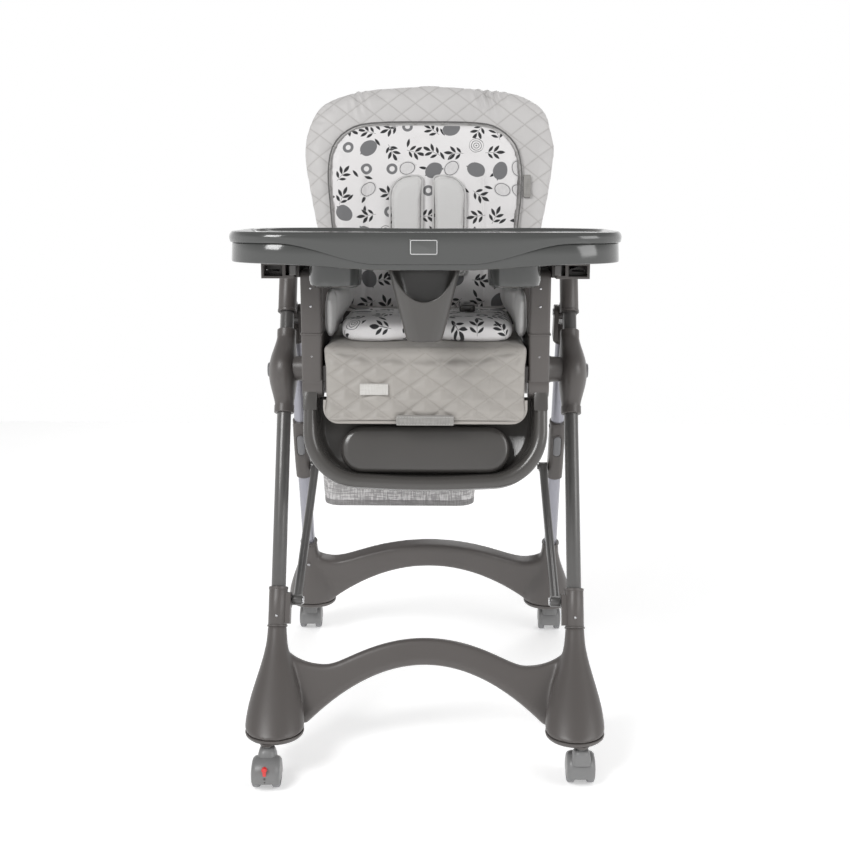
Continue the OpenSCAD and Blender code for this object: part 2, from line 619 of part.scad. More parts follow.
// dir is -1 for a caster whose wheels trail to the front and 1 for one that trails back
module at_caster(s, y, dir) translate([s * front_half, y, 0]) rotate([0, 0, dir > 0 ? 0 : 180]) children();
module caster_hood(s, y, dir) color(plastic) at_caster(s, y, dir) {
    difference() {
        union() {
            translate([0, caster_trail, axle_z]) along_x(hood_r, -hood_half, hood_half);
            translate([0, 0, axle_z + 10]) cylinder(r = 15, h = hood_top - axle_z - 10);
            translate([0, 4, axle_z + 14]) linear_extrude(hood_top - axle_z - 17) round_rect(34, 30, 10);
        }
        for (m = [-1, 1]) translate([0, caster_trail, axle_z]) {
            along_x(wheel_d / 2 + 1, m > 0 ? web_half : -hood_half - 1, m > 0 ? hood_half + 1 : -web_half);
        }
        translate([-hood_half - 1, caster_trail - 50, -10]) cube([2 * hood_half + 2, 100, 10 + 19]);
        translate([-3.5 - slot_gap, caster_trail + 12, 20]) cube([7 + 2 * slot_gap, 30, 30]);
    }
    translate([0, caster_trail, axle_z]) {
        along_x(7, -web_half, web_half);
        along_x(axle_r, -hood_half + 0.5, hood_half - 0.5);
    }
    translate([0, 0, hood_top - 1]) cylinder(r = stem_d / 2, h = foot_z + stem_bore - hood_top);
}
slot_gap = 0.5;
module caster_wheels(s, y, dir) color(steel) at_caster(s, y, dir) translate([0, caster_trail, axle_z])
    for (m = [-1, 1]) difference() {
        along_x(wheel_d / 2, m > 0 ? wheel_in : -wheel_in - wheel_w, m > 0 ? wheel_in + wheel_w : -wheel_in);
        along_x(axle_r + fit, -50, 50);
    }
module brake_lever(s, dir) color("red") at_caster(s, front_stem_y, dir)
    translate([0, caster_trail + hood_r - 8, axle_z + 8]) {
        rotate([12, 0, 0]) translate([-3.5, -4, -4]) cube([7, 14, 5]);
        along_x(3, -3.5, 3.5);
    }

front_base();
rear_base();
front_tube(left);  // front_tube_left
front_tube(right);  // front_tube_right
front_collar(left);  // front_collar_left
front_collar(right);  // front_collar_right
front_knuckle(left);  // front_knuckle_left
front_knuckle(right);  // front_knuckle_right
rear_tube(left);  // rear_tube_left
rear_tube(right);  // rear_tube_right
rear_knuckle(left);  // rear_knuckle_left
rear_knuckle(right);  // rear_knuckle_right
frame_pins();
lock_slider(left);  // lock_slider_left
lock_slider(right);  // lock_slider_right
fold_button(left);  // fold_button_left
fold_button(right);  // fold_button_right
brace(left);  // brace_left
brace(right);  // brace_right
carriage(left);  // carriage_left
carriage(right);  // carriage_right
height_button(left);  // height_button_left
height_button(right);  // height_button_right
seat_shell();
side_frame(left);  // side_frame_left
side_frame(right);  // side_frame_right
backrest_shell();
backrest_pins();
recline_handle();
footrest_dish();
foot_plate();
footrest_pins();
tray_base();
tray_insert();
tray_rail(left);  // tray_rail_left
tray_rail(right);  // tray_rail_right
tray_latch(left);  // tray_latch_left
tray_latch(right);  // tray_latch_right
crotch_post();
badge();
caster_hood(left, front_stem_y, -1);  // caster_hood_front_left
caster_hood(right, front_stem_y, 1);  // caster_hood_front_right
caster_hood(left, rear_stem_y, 1);  // caster_hood_rear_left
caster_hood(right, rear_stem_y, 1);  // caster_hood_rear_right
caster_wheels(left, front_stem_y, -1);  // caster_wheels_front_left
caster_wheels(right, front_stem_y, 1);  // caster_wheels_front_right
caster_wheels(left, rear_stem_y, 1);  // caster_wheels_rear_left
caster_wheels(right, rear_stem_y, 1);  // caster_wheels_rear_right
brake_lever(left, -1);  // brake_lever_left
brake_lever(right, 1);  // brake_lever_right
basket();
back_cushion();
seat_cushion();
leg_pad();
insert_back();
insert_seat();
shoulder_pads();
side_wings();
buckle();
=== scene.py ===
"""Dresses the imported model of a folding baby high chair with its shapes, cloth and finishes."""
import json
import logging
from collections.abc import Callable, Iterable, Sequence
from dataclasses import dataclass
from enum import Enum
from math import atan2, copysign, cos, hypot, pi, radians, sin, sqrt

import bmesh
import bpy
import numpy as np
from bpy.types import Material, Mesh, Node, NodeSocket, NodeTree, Object
from mathutils import Matrix, Vector

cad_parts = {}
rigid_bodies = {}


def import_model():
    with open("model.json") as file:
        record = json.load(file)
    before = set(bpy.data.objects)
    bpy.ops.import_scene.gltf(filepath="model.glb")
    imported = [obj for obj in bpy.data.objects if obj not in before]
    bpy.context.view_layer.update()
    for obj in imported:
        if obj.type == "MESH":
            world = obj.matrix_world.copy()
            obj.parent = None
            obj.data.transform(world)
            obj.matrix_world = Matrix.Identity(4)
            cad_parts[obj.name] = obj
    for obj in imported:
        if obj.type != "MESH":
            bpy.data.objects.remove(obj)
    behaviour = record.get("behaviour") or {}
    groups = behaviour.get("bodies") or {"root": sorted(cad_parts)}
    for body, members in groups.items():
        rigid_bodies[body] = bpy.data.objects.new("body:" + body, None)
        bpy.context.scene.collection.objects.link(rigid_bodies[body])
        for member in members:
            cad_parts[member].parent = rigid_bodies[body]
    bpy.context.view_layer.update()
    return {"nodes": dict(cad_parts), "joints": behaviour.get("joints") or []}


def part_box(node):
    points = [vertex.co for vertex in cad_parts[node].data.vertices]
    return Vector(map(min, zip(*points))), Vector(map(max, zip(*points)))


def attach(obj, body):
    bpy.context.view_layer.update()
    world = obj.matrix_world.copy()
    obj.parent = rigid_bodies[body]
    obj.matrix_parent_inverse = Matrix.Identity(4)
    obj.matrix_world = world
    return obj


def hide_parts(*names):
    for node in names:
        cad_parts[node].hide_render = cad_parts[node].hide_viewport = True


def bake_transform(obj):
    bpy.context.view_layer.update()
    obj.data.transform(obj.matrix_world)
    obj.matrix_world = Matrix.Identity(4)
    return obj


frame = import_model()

log = logging.getLogger("high_chair")
logging.basicConfig(level=logging.INFO, format="%(name)s: %(message)s")

MM = 0.001
Flat = tuple[float, float]
IDENTITY = Matrix.Identity(4)


class Side(Enum):
    """The chair's two sides, with the sign of X on each."""

    LEFT = -1
    RIGHT = 1

    @property
    def word(self) -> str:
        """The side's name, as the nodes and bodies spell it."""
        return self.name.lower()


def joint_place(name: str) -> Vector:
    """The point that a hinge turns about, in metres."""
    return Vector(next(j["pos_m"] for j in frame["joints"] if j["name"] == name))


def leaning(place: Vector, degrees: float) -> Matrix:
    """A frame at a place, turned about X, whose units are millimetres.

    Args:
        place: The frame's origin, in metres.
        degrees: How far the frame turns about X.

    Returns:
        The matrix from the frame's millimetres to metres.
    """
    turn = Matrix.Rotation(radians(degrees), 4, "X")
    return Matrix.Translation(place) @ turn @ Matrix.Scale(MM, 4)


@dataclass(frozen=True)
class Stance:
    """The chair's own frames and the sizes that several pieces share, in millimetres."""

    front_lean: float = 25.0
    rear_lean: float = 18.25
    front_half: float = 247.0
    rear_half: float = 240.0
    front_foot_y: float = -260.0
    rear_down: float = 730.9
    seat_half: float = 192.5

    @property
    def world(self) -> Matrix:
        """The chair's frame in millimetres."""
        return Matrix.Scale(MM, 4)

    @property
    def front_leg(self) -> Matrix:
        """Up the front legs from the floor."""
        return leaning(Vector((0, self.front_foot_y * MM, 0)), -self.front_lean)

    @property
    def rear_leg(self) -> Matrix:
        """Up the rear legs from the folding pivot."""
        return leaning(joint_place("fold"), self.rear_lean)

    @property
    def backrest(self) -> Matrix:
        """Up the backrest from its hinge."""
        return leaning(joint_place("recline"), -17.0)

    @property
    def footrest(self) -> Matrix:
        """Up the footrest from its hinge."""
        return leaning(joint_place("footrest_tilt"), -18.0)

    @property
    def tray(self) -> Matrix:
        """The middle of the tray's rim."""
        return leaning(Vector((0, -0.158, 0.856)), -3.0)


STANCE = Stance()


# ---- shapes


def smooth_step(low: float, high: float, value: float) -> float:
    """0 below low, 1 above high, and a smooth climb between."""
    t = min(1.0, max(0.0, (value - low) / (high - low)))
    return t * t * (3 - 2 * t)


def arc(x: float, y: float, r: float, start: float, end: float, steps: int = 8) -> list[Flat]:
    """Points on an arc.

    Args:
        x: Its centre's first coordinate.
        y: Its centre's second coordinate.
        r: Its radius.
        start: Its first angle, in degrees.
        end: Its last angle, in degrees.
        steps: How many parts it has.

    Returns:
        The points from start to end.
    """
    turns = [radians(start + (end - start) * i / steps) for i in range(steps + 1)]
    return [(x + r * cos(t), y + r * sin(t)) for t in turns]


def rounded(w: float, h: float, r: float, x: float = 0, y: float = 0, steps: int = 6) -> list[Flat]:
    """A rectangle with round corners, counterclockwise.

    Args:
        w: Its width.
        h: Its height.
        r: Its corner radius.
        x: Its middle's first coordinate.
        y: Its middle's second coordinate.
        steps: How many parts each corner has.

    Returns:
        Its outline.
    """
    r = min(r, w / 2 - 0.01, h / 2 - 0.01)
    out: list[Flat] = []
    for k, (sx, sy) in enumerate(((1, 1), (-1, 1), (-1, -1), (1, -1))):
        out += arc(x + sx * (w / 2 - r), y + sy * (h / 2 - r), r, 90 * k, 90 * k + 90, steps)
    return out


def spread(loop: Sequence[Flat], count: int) -> list[Flat]:
    """Points at even steps round a closed outline, starting where it starts."""
    ends = np.array([*loop, loop[0]])
    run = np.concatenate([[0], np.cumsum(np.linalg.norm(np.diff(ends, axis=0), axis=1))])
    at = np.linspace(0, run[-1], count, endpoint=False)
    return list(zip(np.interp(at, run, ends[:, 0]), np.interp(at, run, ends[:, 1])))


def flowing(points: Sequence[Flat], steps: int = 8, closed: bool = True) -> list[Flat]:
    """A smooth curve through points.

    Args:
        points: What it passes through.
        steps: How many parts each stretch has.
        closed: Whether it returns to its start.

    Returns:
        The curve's points.
    """
    p = [Vector((a, b)) for a, b in points]
    n = len(p)
    out = []
    for i in range(n if closed else n - 1):
        if closed:
            a, b, c, d = p[i - 1], p[i], p[(i + 1) % n], p[(i + 2) % n]
        else:
            a, b, c, d = p[max(i - 1, 0)], p[i], p[i + 1], p[min(i + 2, n - 1)]
        for k in range(steps):
            t = k / steps
            q = 0.5 * (2 * b + (c - a) * t + (2 * a - 5 * b + 4 * c - d) * t * t
                       + (3 * b - a - 3 * c + d) * t ** 3)
            out.append((q.x, q.y))
    if not closed:
        out.append((p[-1].x, p[-1].y))
    return out


class Form:
    """A mesh being put together, in its frame's millimetres."""

    def __init__(self) -> None:
        """Starts empty."""
        self.bm = bmesh.new()

    def loft(self, rings: Sequence[Iterable], closed: bool = True, caps: tuple[bool, bool] = (True, True)) -> "Form":
        """Skins a row of rings with the same count of points.

        Args:
            rings: The rings, each a list of three-part points.
            closed: Whether each ring is a loop.
            caps: Whether the first and the last ring are filled.

        Returns:
            This form.
        """
        rows = [[self.bm.verts.new(p) for p in ring] for ring in rings]
        count = len(rows[0])
        for low, high in zip(rows, rows[1:]):
            for i in range(count if closed else count - 1):
                j = (i + 1) % count
                self.bm.faces.new((low[i], low[j], high[j], high[i]))
        if closed and caps[0]:
            self.bm.faces.new(rows[0][::-1])
        if closed and caps[1]:
            self.bm.faces.new(rows[-1])
        return self

    def stack(self, levels: Sequence[tuple[list[Flat], float]], caps: tuple[bool, bool] = (True, True)) -> "Form":
        """Lofts flat outlines that lie one above another along Z."""
        return self.loft([[(x, y, z) for x, y in pts] for pts, z in levels], caps=caps)

    def lathe(self, profile: Sequence[Flat], centre: Sequence[float] = (0, 0, 0), axis: str = "Z",
              steps: int = 40) -> "Form":
        """Turns a profile about an axis.

        Args:
            profile: Pairs of distance along the axis and radius.
            centre: Where the axis passes.
            axis: X, Y or Z.
            steps: How many facets go round.

        Returns:
            This form.
        """
        rings = []
        for along, r in profile:
            ring = []
            for i in range(steps):
                t = 2 * pi * i / steps
                u, v = max(r, 1e-4) * cos(t), max(r, 1e-4) * sin(t)
                point = {"X": (along, u, v), "Y": (v, along, u), "Z": (u, v, along)}[axis]
                ring.append(Vector(point) + Vector(centre))
            rings.append(ring)
        return self.loft(rings)

    def sweep(self, path: Sequence[Sequence[float]], section: list[Flat], closed: bool = False) -> "Form":
        """Carries a section along a path.

        Args:
            path: The points that it follows.
            section: Its outline, across the path.
            closed: Whether the path is a loop.

        Returns:
            This form.
        """
        p = [Vector(q) for q in path]
        n = len(p)
        up = Vector((0.13, 0.29, 0.95)).normalized()
        rings = []
        for i in range(n):
            before = p[i - 1] if closed or i else p[i]
            after = p[(i + 1) % n] if closed or i < n - 1 else p[i]
            along = (after - before).normalized()
            side = along.cross(up)
            side = side.normalized() if side.length > 1e-5 else along.orthogonal().normalized()
            up = side.cross(along).normalized()
            rings.append([p[i] + side * a + up * b for a, b in section])
        if closed:
            rings.append(rings[0])
        return self.loft(rings, caps=(not closed, not closed))

    def slab(self, outlines: Sequence[Sequence[Flat]], thickness: float, bevel: float,
             place: Matrix = IDENTITY) -> "Form":
        """Adds a plate with rounded edges and holes.

        Args:
            outlines: Its outline and the outlines of its holes.
            thickness: From face to face along Z.
            bevel: The radius of its edges.
            place: Where its middle lies, in this form.

        Returns:
            This form.
        """
        curve = bpy.data.curves.new("slab", "CURVE")
        curve.dimensions, curve.fill_mode = "2D", "BOTH"
        curve.extrude, curve.bevel_depth = thickness / 2 - bevel, bevel
        curve.bevel_resolution, curve.offset = 3, -bevel
        for outline in outlines:
            spline = curve.splines.new("POLY")
            spline.points.add(len(outline) - 1)
            for point, (x, y) in zip(spline.points, outline):
                point.co = (x, y, 0, 1)
            spline.use_cyclic_u = True
        holder = bpy.data.objects.new("slab", curve)
        mesh = bpy.data.meshes.new_from_object(holder)
        mesh.transform(place)
        self.bm.from_mesh(mesh)
        for block, store in ((holder, bpy.data.objects), (curve, bpy.data.curves), (mesh, bpy.data.meshes)):
            store.remove(block)
        return self

    def fill(self, loops: Sequence[Sequence[Vector]]) -> "Form":
        """Fills a flat face that has holes, between an outer loop and inner ones."""
        edges = []
        for loop in loops:
            verts = [self.bm.verts.new(p) for p in loop]
            edges += [self.bm.edges.new((verts[i - 1], verts[i])) for i in range(len(verts))]
        bmesh.ops.triangle_fill(self.bm, use_beauty=True, use_dissolve=False, edges=edges)
        return self

    def move(self, shift: Callable[[Vector], Sequence[float]]) -> "Form":
        """Moves every point to where a rule puts it."""
        for v in self.bm.verts:
            v.co = shift(v.co)
        return self

    def mesh(self, place: Matrix, closed: bool = True, smooth: float = 38.0) -> Mesh:
        """Turns the form into a mesh in metres.

        Args:
            place: From the form's millimetres to metres.
            closed: Whether it is a solid, whose faces are turned outwards.
            smooth: Edges sharper than this many degrees stay crisp.

        Returns:
            The mesh.
        """
        bmesh.ops.remove_doubles(self.bm, verts=self.bm.verts, dist=0.004)
        bmesh.ops.dissolve_degenerate(self.bm, edges=self.bm.edges, dist=0.001)
        if closed:
            bmesh.ops.recalc_face_normals(self.bm, faces=self.bm.faces)
        mesh = bpy.data.meshes.new("form")
        self.bm.to_mesh(mesh)
        self.bm.free()
        mesh.transform(place)
        mesh.shade_smooth()
        mesh.set_sharp_from_angle(angle=radians(smooth))
        return mesh


def both(build: Callable[[int], Form]) -> list[tuple[Side, Form]]:
    """The left and the right form that a builder makes from the sign of X."""
    return [(side, build(side.value)) for side in Side]


def settle(obj: Object) -> Object:
    """Applies an object's modifiers, leaving a plain mesh."""
    graph = bpy.context.evaluated_depsgraph_get()
    mesh = bpy.data.meshes.new_from_object(obj.evaluated_get(graph))
    obj.modifiers.clear()
    old, obj.data = obj.data, mesh
    if isinstance(old, Mesh):
        bpy.data.meshes.remove(old)
    return obj


def stand_in(name: str, mesh: Mesh) -> Object:
    """A new object that holds a mesh at the origin."""
    obj = bpy.data.objects.new(name, mesh)
    bpy.context.scene.collection.objects.link(obj)
    return obj


def points_of(obj: Object) -> np.ndarray:
    """An object's vertices, in metres."""
    co = np.zeros(len(obj.data.vertices) * 3, np.float32)
    obj.data.vertices.foreach_get("co", co)
    return co.reshape(-1, 3).astype(float)


def set_points(obj: Object, co: np.ndarray) -> None:
    """Moves an object's vertices to new places, in metres."""
    obj.data.vertices.foreach_set("co", np.asarray(co, np.float32).ravel())
    obj.data.update()


def local_points(obj: Object, place: Matrix) -> np.ndarray:
    """An object's vertices in a frame's millimetres."""
    m = np.array(place.inverted())
    return points_of(obj) @ m[:3, :3].T + m[:3, 3]


def set_local(obj: Object, place: Matrix, co: np.ndarray) -> None:
    """Moves an object's vertices to places in a frame's millimetres."""
    m = np.array(place)
    set_points(obj, co @ m[:3, :3].T + m[:3, 3])


def lay_map(obj: Object, flat: np.ndarray, name: str = "cloth") -> None:
    """Gives cloth a map of its flat coordinates, in metres.

    Args:
        obj: The cloth.
        flat: Two coordinates for each vertex, in millimetres.
        name: The map's name.
    """
    mesh = obj.data
    corner = np.zeros(len(mesh.loops), np.int32)
    mesh.loops.foreach_get("vertex_index", corner)
    layer = mesh.uv_layers.get(name) or mesh.uv_layers.new(name=name)
    layer.data.foreach_set("uv", (flat[corner] * MM).astype(np.float32).ravel())


def remesh(obj: Object, voxel: float, smooth: int = 0, factor: float = 0.5) -> None:
    """Rebuilds a solid as one even skin, and eases its creases.

    Args:
        obj: The solid, whose parts may overlap.
        voxel: The size of its facets, in metres.
        smooth: How many rounds of easing follow.
        factor: How strong each round is.
    """
    grid = obj.modifiers.new("skin", "REMESH")
    grid.mode, grid.voxel_size, grid.use_smooth_shade = "VOXEL", voxel, True
    if smooth:
        ease = obj.modifiers.new("ease", "SMOOTH")
        ease.factor, ease.iterations = factor, smooth
    settle(obj)


def refine(obj: Object, levels: int = 1) -> None:
    """Subdivides a piece and applies the result."""
    sub = obj.modifiers.new("fine", "SUBSURF")
    sub.levels = sub.render_levels = levels
    settle(obj)


# ---- finishes


def linear(r: int, g: int, b: int) -> tuple[float, float, float, float]:
    """A display colour from 0 to 255 as a shader colour."""
    parts = [c / 255 for c in (r, g, b)]
    return tuple(c / 12.92 if c <= 0.04045 else ((c + 0.055) / 1.055) ** 2.4 for c in parts) + (1.0,)


class Wire:
    """A number that flows between shader nodes, with plain arithmetic."""

    def __init__(self, bench: "Bench", socket: NodeSocket) -> None:
        """Holds the socket it comes from."""
        self.bench, self.socket = bench, socket

    def _do(self, kind: str, *others: "Wire | float") -> "Wire":
        """Another number made from this one."""
        return self.bench.math(kind, self, *others)

    def __add__(self, other: "Wire | float") -> "Wire":
        """Sum."""
        return self._do("ADD", other)

    def __sub__(self, other: "Wire | float") -> "Wire":
        """Difference."""
        return self._do("SUBTRACT", other)

    def __mul__(self, other: "Wire | float") -> "Wire":
        """Product."""
        return self._do("MULTIPLY", other)

    def abs(self) -> "Wire":
        """Size without sign."""
        return self._do("ABSOLUTE")

    def clamp(self) -> "Wire":
        """Held between 0 and 1."""
        return self._do("MAXIMUM", 0.0)._do("MINIMUM", 1.0)

    def above(self, edge: "Wire | float") -> "Wire":
        """1 where it is greater than an edge."""
        return self._do("GREATER_THAN", edge)

    def either(self, other: "Wire") -> "Wire":
        """The greater of two."""
        return self._do("MAXIMUM", other)

    def near(self, spacing: float) -> "Wire":
        """How far it is from the nearest multiple of a spacing."""
        return self._do("PINGPONG", spacing / 2) if spacing else self


class Bench:
    """A material's node tree being put together."""

    def __init__(self, name: str) -> None:
        """Starts a material with its shader and output."""
        self.material = bpy.data.materials.new(name + "_finish")
        self.material.use_nodes = True
        self.tree = self.material.node_tree
        self.shader = self.tree.nodes["Principled BSDF"]

    def node(self, kind: str, inputs: dict | None = None, **settings: object) -> Node:
        """Adds a node.

        Args:
            kind: Its type without the ShaderNode prefix.
            inputs: Values or wires for its inputs, by name or number.
            settings: Its own settings.

        Returns:
            The node.
        """
        made = self.tree.nodes.new("ShaderNode" + kind)
        for key, value in settings.items():
            setattr(made, key, value)
        for key, value in (inputs or {}).items():
            self.feed(made.inputs[key], value)
        return made

    def feed(self, socket: NodeSocket, value: object) -> None:
        """Sets an input, or links it."""
        if isinstance(value, Wire):
            value = value.socket
        if isinstance(value, NodeSocket):
            self.tree.links.new(value, socket)
        else:
            socket.default_value = value

    def math(self, kind: str, *values: "Wire | float") -> Wire:
        """One step of arithmetic."""
        return Wire(self, self.node("Math", dict(enumerate(values)), operation=kind).outputs[0])

    def place(self, uv: str = "") -> NodeSocket:
        """Where a point lies: on the object, or on a named map."""
        if uv:
            return self.node("UVMap", uv_map=uv).outputs[0]
        return self.node("TexCoord").outputs["Object"]

    def noise(self, scale: float, place: NodeSocket, detail: float = 3, stretch: tuple = ()) -> Wire:
        """Soft noise from 0 to 1.

        Args:
            scale: Its grains to the metre.
            place: Where it is read.
            detail: How fine it goes.
            stretch: Three scales that draw it out along an axis.

        Returns:
            The noise.
        """
        if stretch:
            place = self.node("Mapping", {"Vector": place, "Scale": stretch}).outputs[0]
        grain = self.node("TexNoise", {"Vector": place, "Scale": scale, "Detail": detail})
        return Wire(self, grain.outputs["Fac"])

    def split(self, place: NodeSocket) -> list[Wire]:
        """A place's three coordinates."""
        return [Wire(self, s) for s in self.node("SeparateXYZ", {0: place}).outputs]

    def blend(self, fac: Wire, low: object, high: object) -> NodeSocket:
        """Mixes two colours."""
        mix = self.node("Mix", data_type="RGBA")
        for socket, value in zip([mix.inputs[0], mix.inputs[6], mix.inputs[7]], (fac, low, high)):
            self.feed(socket, value)
        return mix.outputs[2]

    def bump(self, height: Wire, depth: float, strength: float = 1.0) -> NodeSocket:
        """Turns a height from 0 to 1 into relief.

        Args:
            height: The height.
            depth: How far 1 stands proud, in metres.
            strength: How much of it shows.

        Returns:
            The normal.
        """
        return self.node("Bump", {"Height": height, "Distance": depth, "Strength": strength}).outputs[0]

    def finish(self, **inputs: object) -> Material:
        """Feeds the shader's inputs, named with underscores, and hands back the material."""
        for key, value in inputs.items():
            self.feed(self.shader.inputs[key.replace("_", " ")], value)
        return self.material


def tint(colour: tuple, factor: float) -> tuple:
    """A lighter or darker shade of a colour."""
    return tuple(min(1.0, c * factor) for c in colour[:3]) + (1.0,)


@dataclass(frozen=True)
class Finish:
    """What a surface is made of; each kind builds its own material."""

    name: str
    colour: tuple
    rough: float = 0.4

    def build(self) -> Material:
        """Makes the material."""
        raise NotImplementedError

    def material(self) -> Material:
        """The material, made once."""
        return bpy.data.materials.get(self.name + "_finish") or self.build()


@dataclass(frozen=True)
class Moulded(Finish):
    """Injection-moulded plastic with a fine spark texture, handling marks and faint flow."""

    coat: float = 0.0
    grain: float = 0.35
    marks: float = 0.12

    def build(self) -> Material:
        """Makes the material."""
        b = Bench(self.name)
        at = b.place()
        flow = b.noise(7, at, 2)
        scuff = (b.noise(90, at, 4, (1, 1, 0.12)) - 0.62).clamp() * 4 * self.marks
        grain = b.noise(2600, at, 1)
        shade = b.blend(flow, tint(self.colour, 0.93), tint(self.colour, 1.07))
        shade = b.blend(scuff.clamp(), shade, tint(self.colour, 1.5))
        rough = flow * 0.06 + grain * 0.05 + scuff * 0.3 + (self.rough - 0.055)
        return b.finish(Base_Color=shade, Roughness=rough, Coat_Weight=self.coat, Coat_Roughness=0.12,
                        Normal=b.bump(grain, 0.00006, self.grain))


@dataclass(frozen=True)
class Enamel(Finish):
    """Powder-coated steel tube with a slight orange peel."""

    metal: float = 0.25
    drawn: tuple = (1.0, 1.0, 0.06)

    def build(self) -> Material:
        """Makes the material."""
        b = Bench(self.name)
        at = b.place()
        peel = b.noise(700, at, 1)
        streak = b.noise(140, at, 3, self.drawn)
        shade = b.blend(streak, tint(self.colour, 0.92), tint(self.colour, 1.08))
        return b.finish(Base_Color=shade, Metallic=self.metal, Roughness=streak * 0.1 + (self.rough - 0.05),
                        Coat_Weight=0.15, Normal=b.bump(peel, 0.00015, 0.25))


@dataclass(frozen=True)
class Tread(Finish):
    """Soft grey wheel rubber, dusty and finely worn."""

    def build(self) -> Material:
        """Makes the material."""
        b = Bench(self.name)
        at = b.place()
        dust = b.noise(160, at, 5)
        shade = b.blend(dust, tint(self.colour, 0.8), tint(self.colour, 1.2))
        return b.finish(Base_Color=shade, Roughness=dust * 0.25 + self.rough, Normal=b.bump(dust, 0.0003, 0.4))


@dataclass(frozen=True)
class Leatherette(Finish):
    """Wipe-clean cover cloth: fine pebbled skin, with rows of quilting stitches and painted shade along the quilting
    lines where it is quilted.
    """

    wide: float = 0.0
    high: float = 0.0
    thread: tuple = (0.5, 0.5, 0.5, 1.0)
    # half the width of the band of painted shade along each quilting line, in metres
    crease_half: float = 0.0026
    stitch_half: float = 0.00042
    stitch_pitch: float = 0.0034

    def rows(self, b: Bench, u: Wire, v: Wire) -> tuple[Wire, Wire]:
        """Stitches, and bands of painted shade at the creases, along both families of the quilting's lines.

        Args:
            b: The material's bench.
            u: Across the cloth, in metres.
            v: Up the cloth, in metres.

        Returns:
            1 on a stitch and 0 off it, and the same for the band of painted shade along the soft crease that it draws
            in.
        """
        slope = atan2(self.high, self.wide)
        pitch = self.wide * sin(slope)
        found: Wire | None = None
        creases: Wire | None = None
        for turn in (1, -1):
            across = u * (turn * sin(slope)) + v * cos(slope)
            along = u * cos(slope) - v * (turn * sin(slope))
            gap = (across + 400 * pitch).near(pitch)
            # a band of painted shade along the quilting line, darkest on it
            crease = ((gap * -1 + self.crease_half) * 380).clamp()
            creases = crease if creases is None else creases.either(crease)
            line = (gap * -1 + self.stitch_half).above(0)
            dash = ((along + 20).near(self.stitch_pitch) - 0.0004).above(0)
            row = line * dash
            found = row if found is None else found.either(row)
        return found, creases

    def build(self) -> Material:
        """Makes the material."""
        b = Bench(self.name)
        at = b.place("cloth")
        u, v, _ = b.split(at)
        pebble = Wire(b, b.node("TexVoronoi", {"Vector": at, "Scale": 1500}).outputs["Distance"])
        cloud = b.noise(12, b.place(), 4)
        crease = b.noise(55, at, 4)
        shade = b.blend(cloud, tint(self.colour, 0.95), tint(self.colour, 1.04))
        height = pebble * 0.35 + crease * 0.65
        if self.wide:
            stitch, drawn = self.rows(b, u, v)
            # painted shade along the quilting creases, in the thread's colour
            shade = b.blend(drawn * 0.3, shade, self.thread)
            shade = b.blend(stitch * 0.55, shade, self.thread)
            height = height + stitch * 0.6
        return b.finish(Base_Color=shade, Roughness=cloud * 0.12 + (self.rough - 0.06), Specular_IOR_Level=0.35,
                        Sheen_Weight=0.15, Sheen_Roughness=0.5, Normal=b.bump(height, 0.0004, 0.5))


@dataclass(frozen=True)
class Weave(Finish):
    """Woven cloth; the second colour makes it a melange."""

    second: tuple = (1.0, 1.0, 1.0, 1.0)
    threads: float = 900.0
    mixed: float = 0.3
    uv: str = "cloth"

    def threads_of(self, b: Bench, at: NodeSocket) -> Wire:
        """The height of a plain weave's threads, from 0 to 1."""
        u, v, _ = b.split(at)
        step = 1 / self.threads
        warp, weft = (u + 9).near(2 * step) * self.threads, (v + 9).near(2 * step) * self.threads
        return warp * 0.5 + weft * 0.5

    def build(self) -> Material:
        """Makes the material."""
        b = Bench(self.name)
        at = b.place(self.uv)
        weave = self.threads_of(b, at)
        slub = b.noise(420, at, 2, (1, 0.12, 1)) * 0.5 + b.noise(420, at, 2, (0.12, 1, 1)) * 0.5
        mixed = ((slub - 0.46) * 9).clamp() * self.mixed + weave * 0.12
        shade = b.blend(mixed.clamp(), self.colour, self.second)
        return b.finish(Base_Color=shade, Roughness=self.rough, Sheen_Weight=0.3, Sheen_Roughness=0.4,
                        Normal=b.bump(weave + slub * 0.5, 0.0003, 0.5))


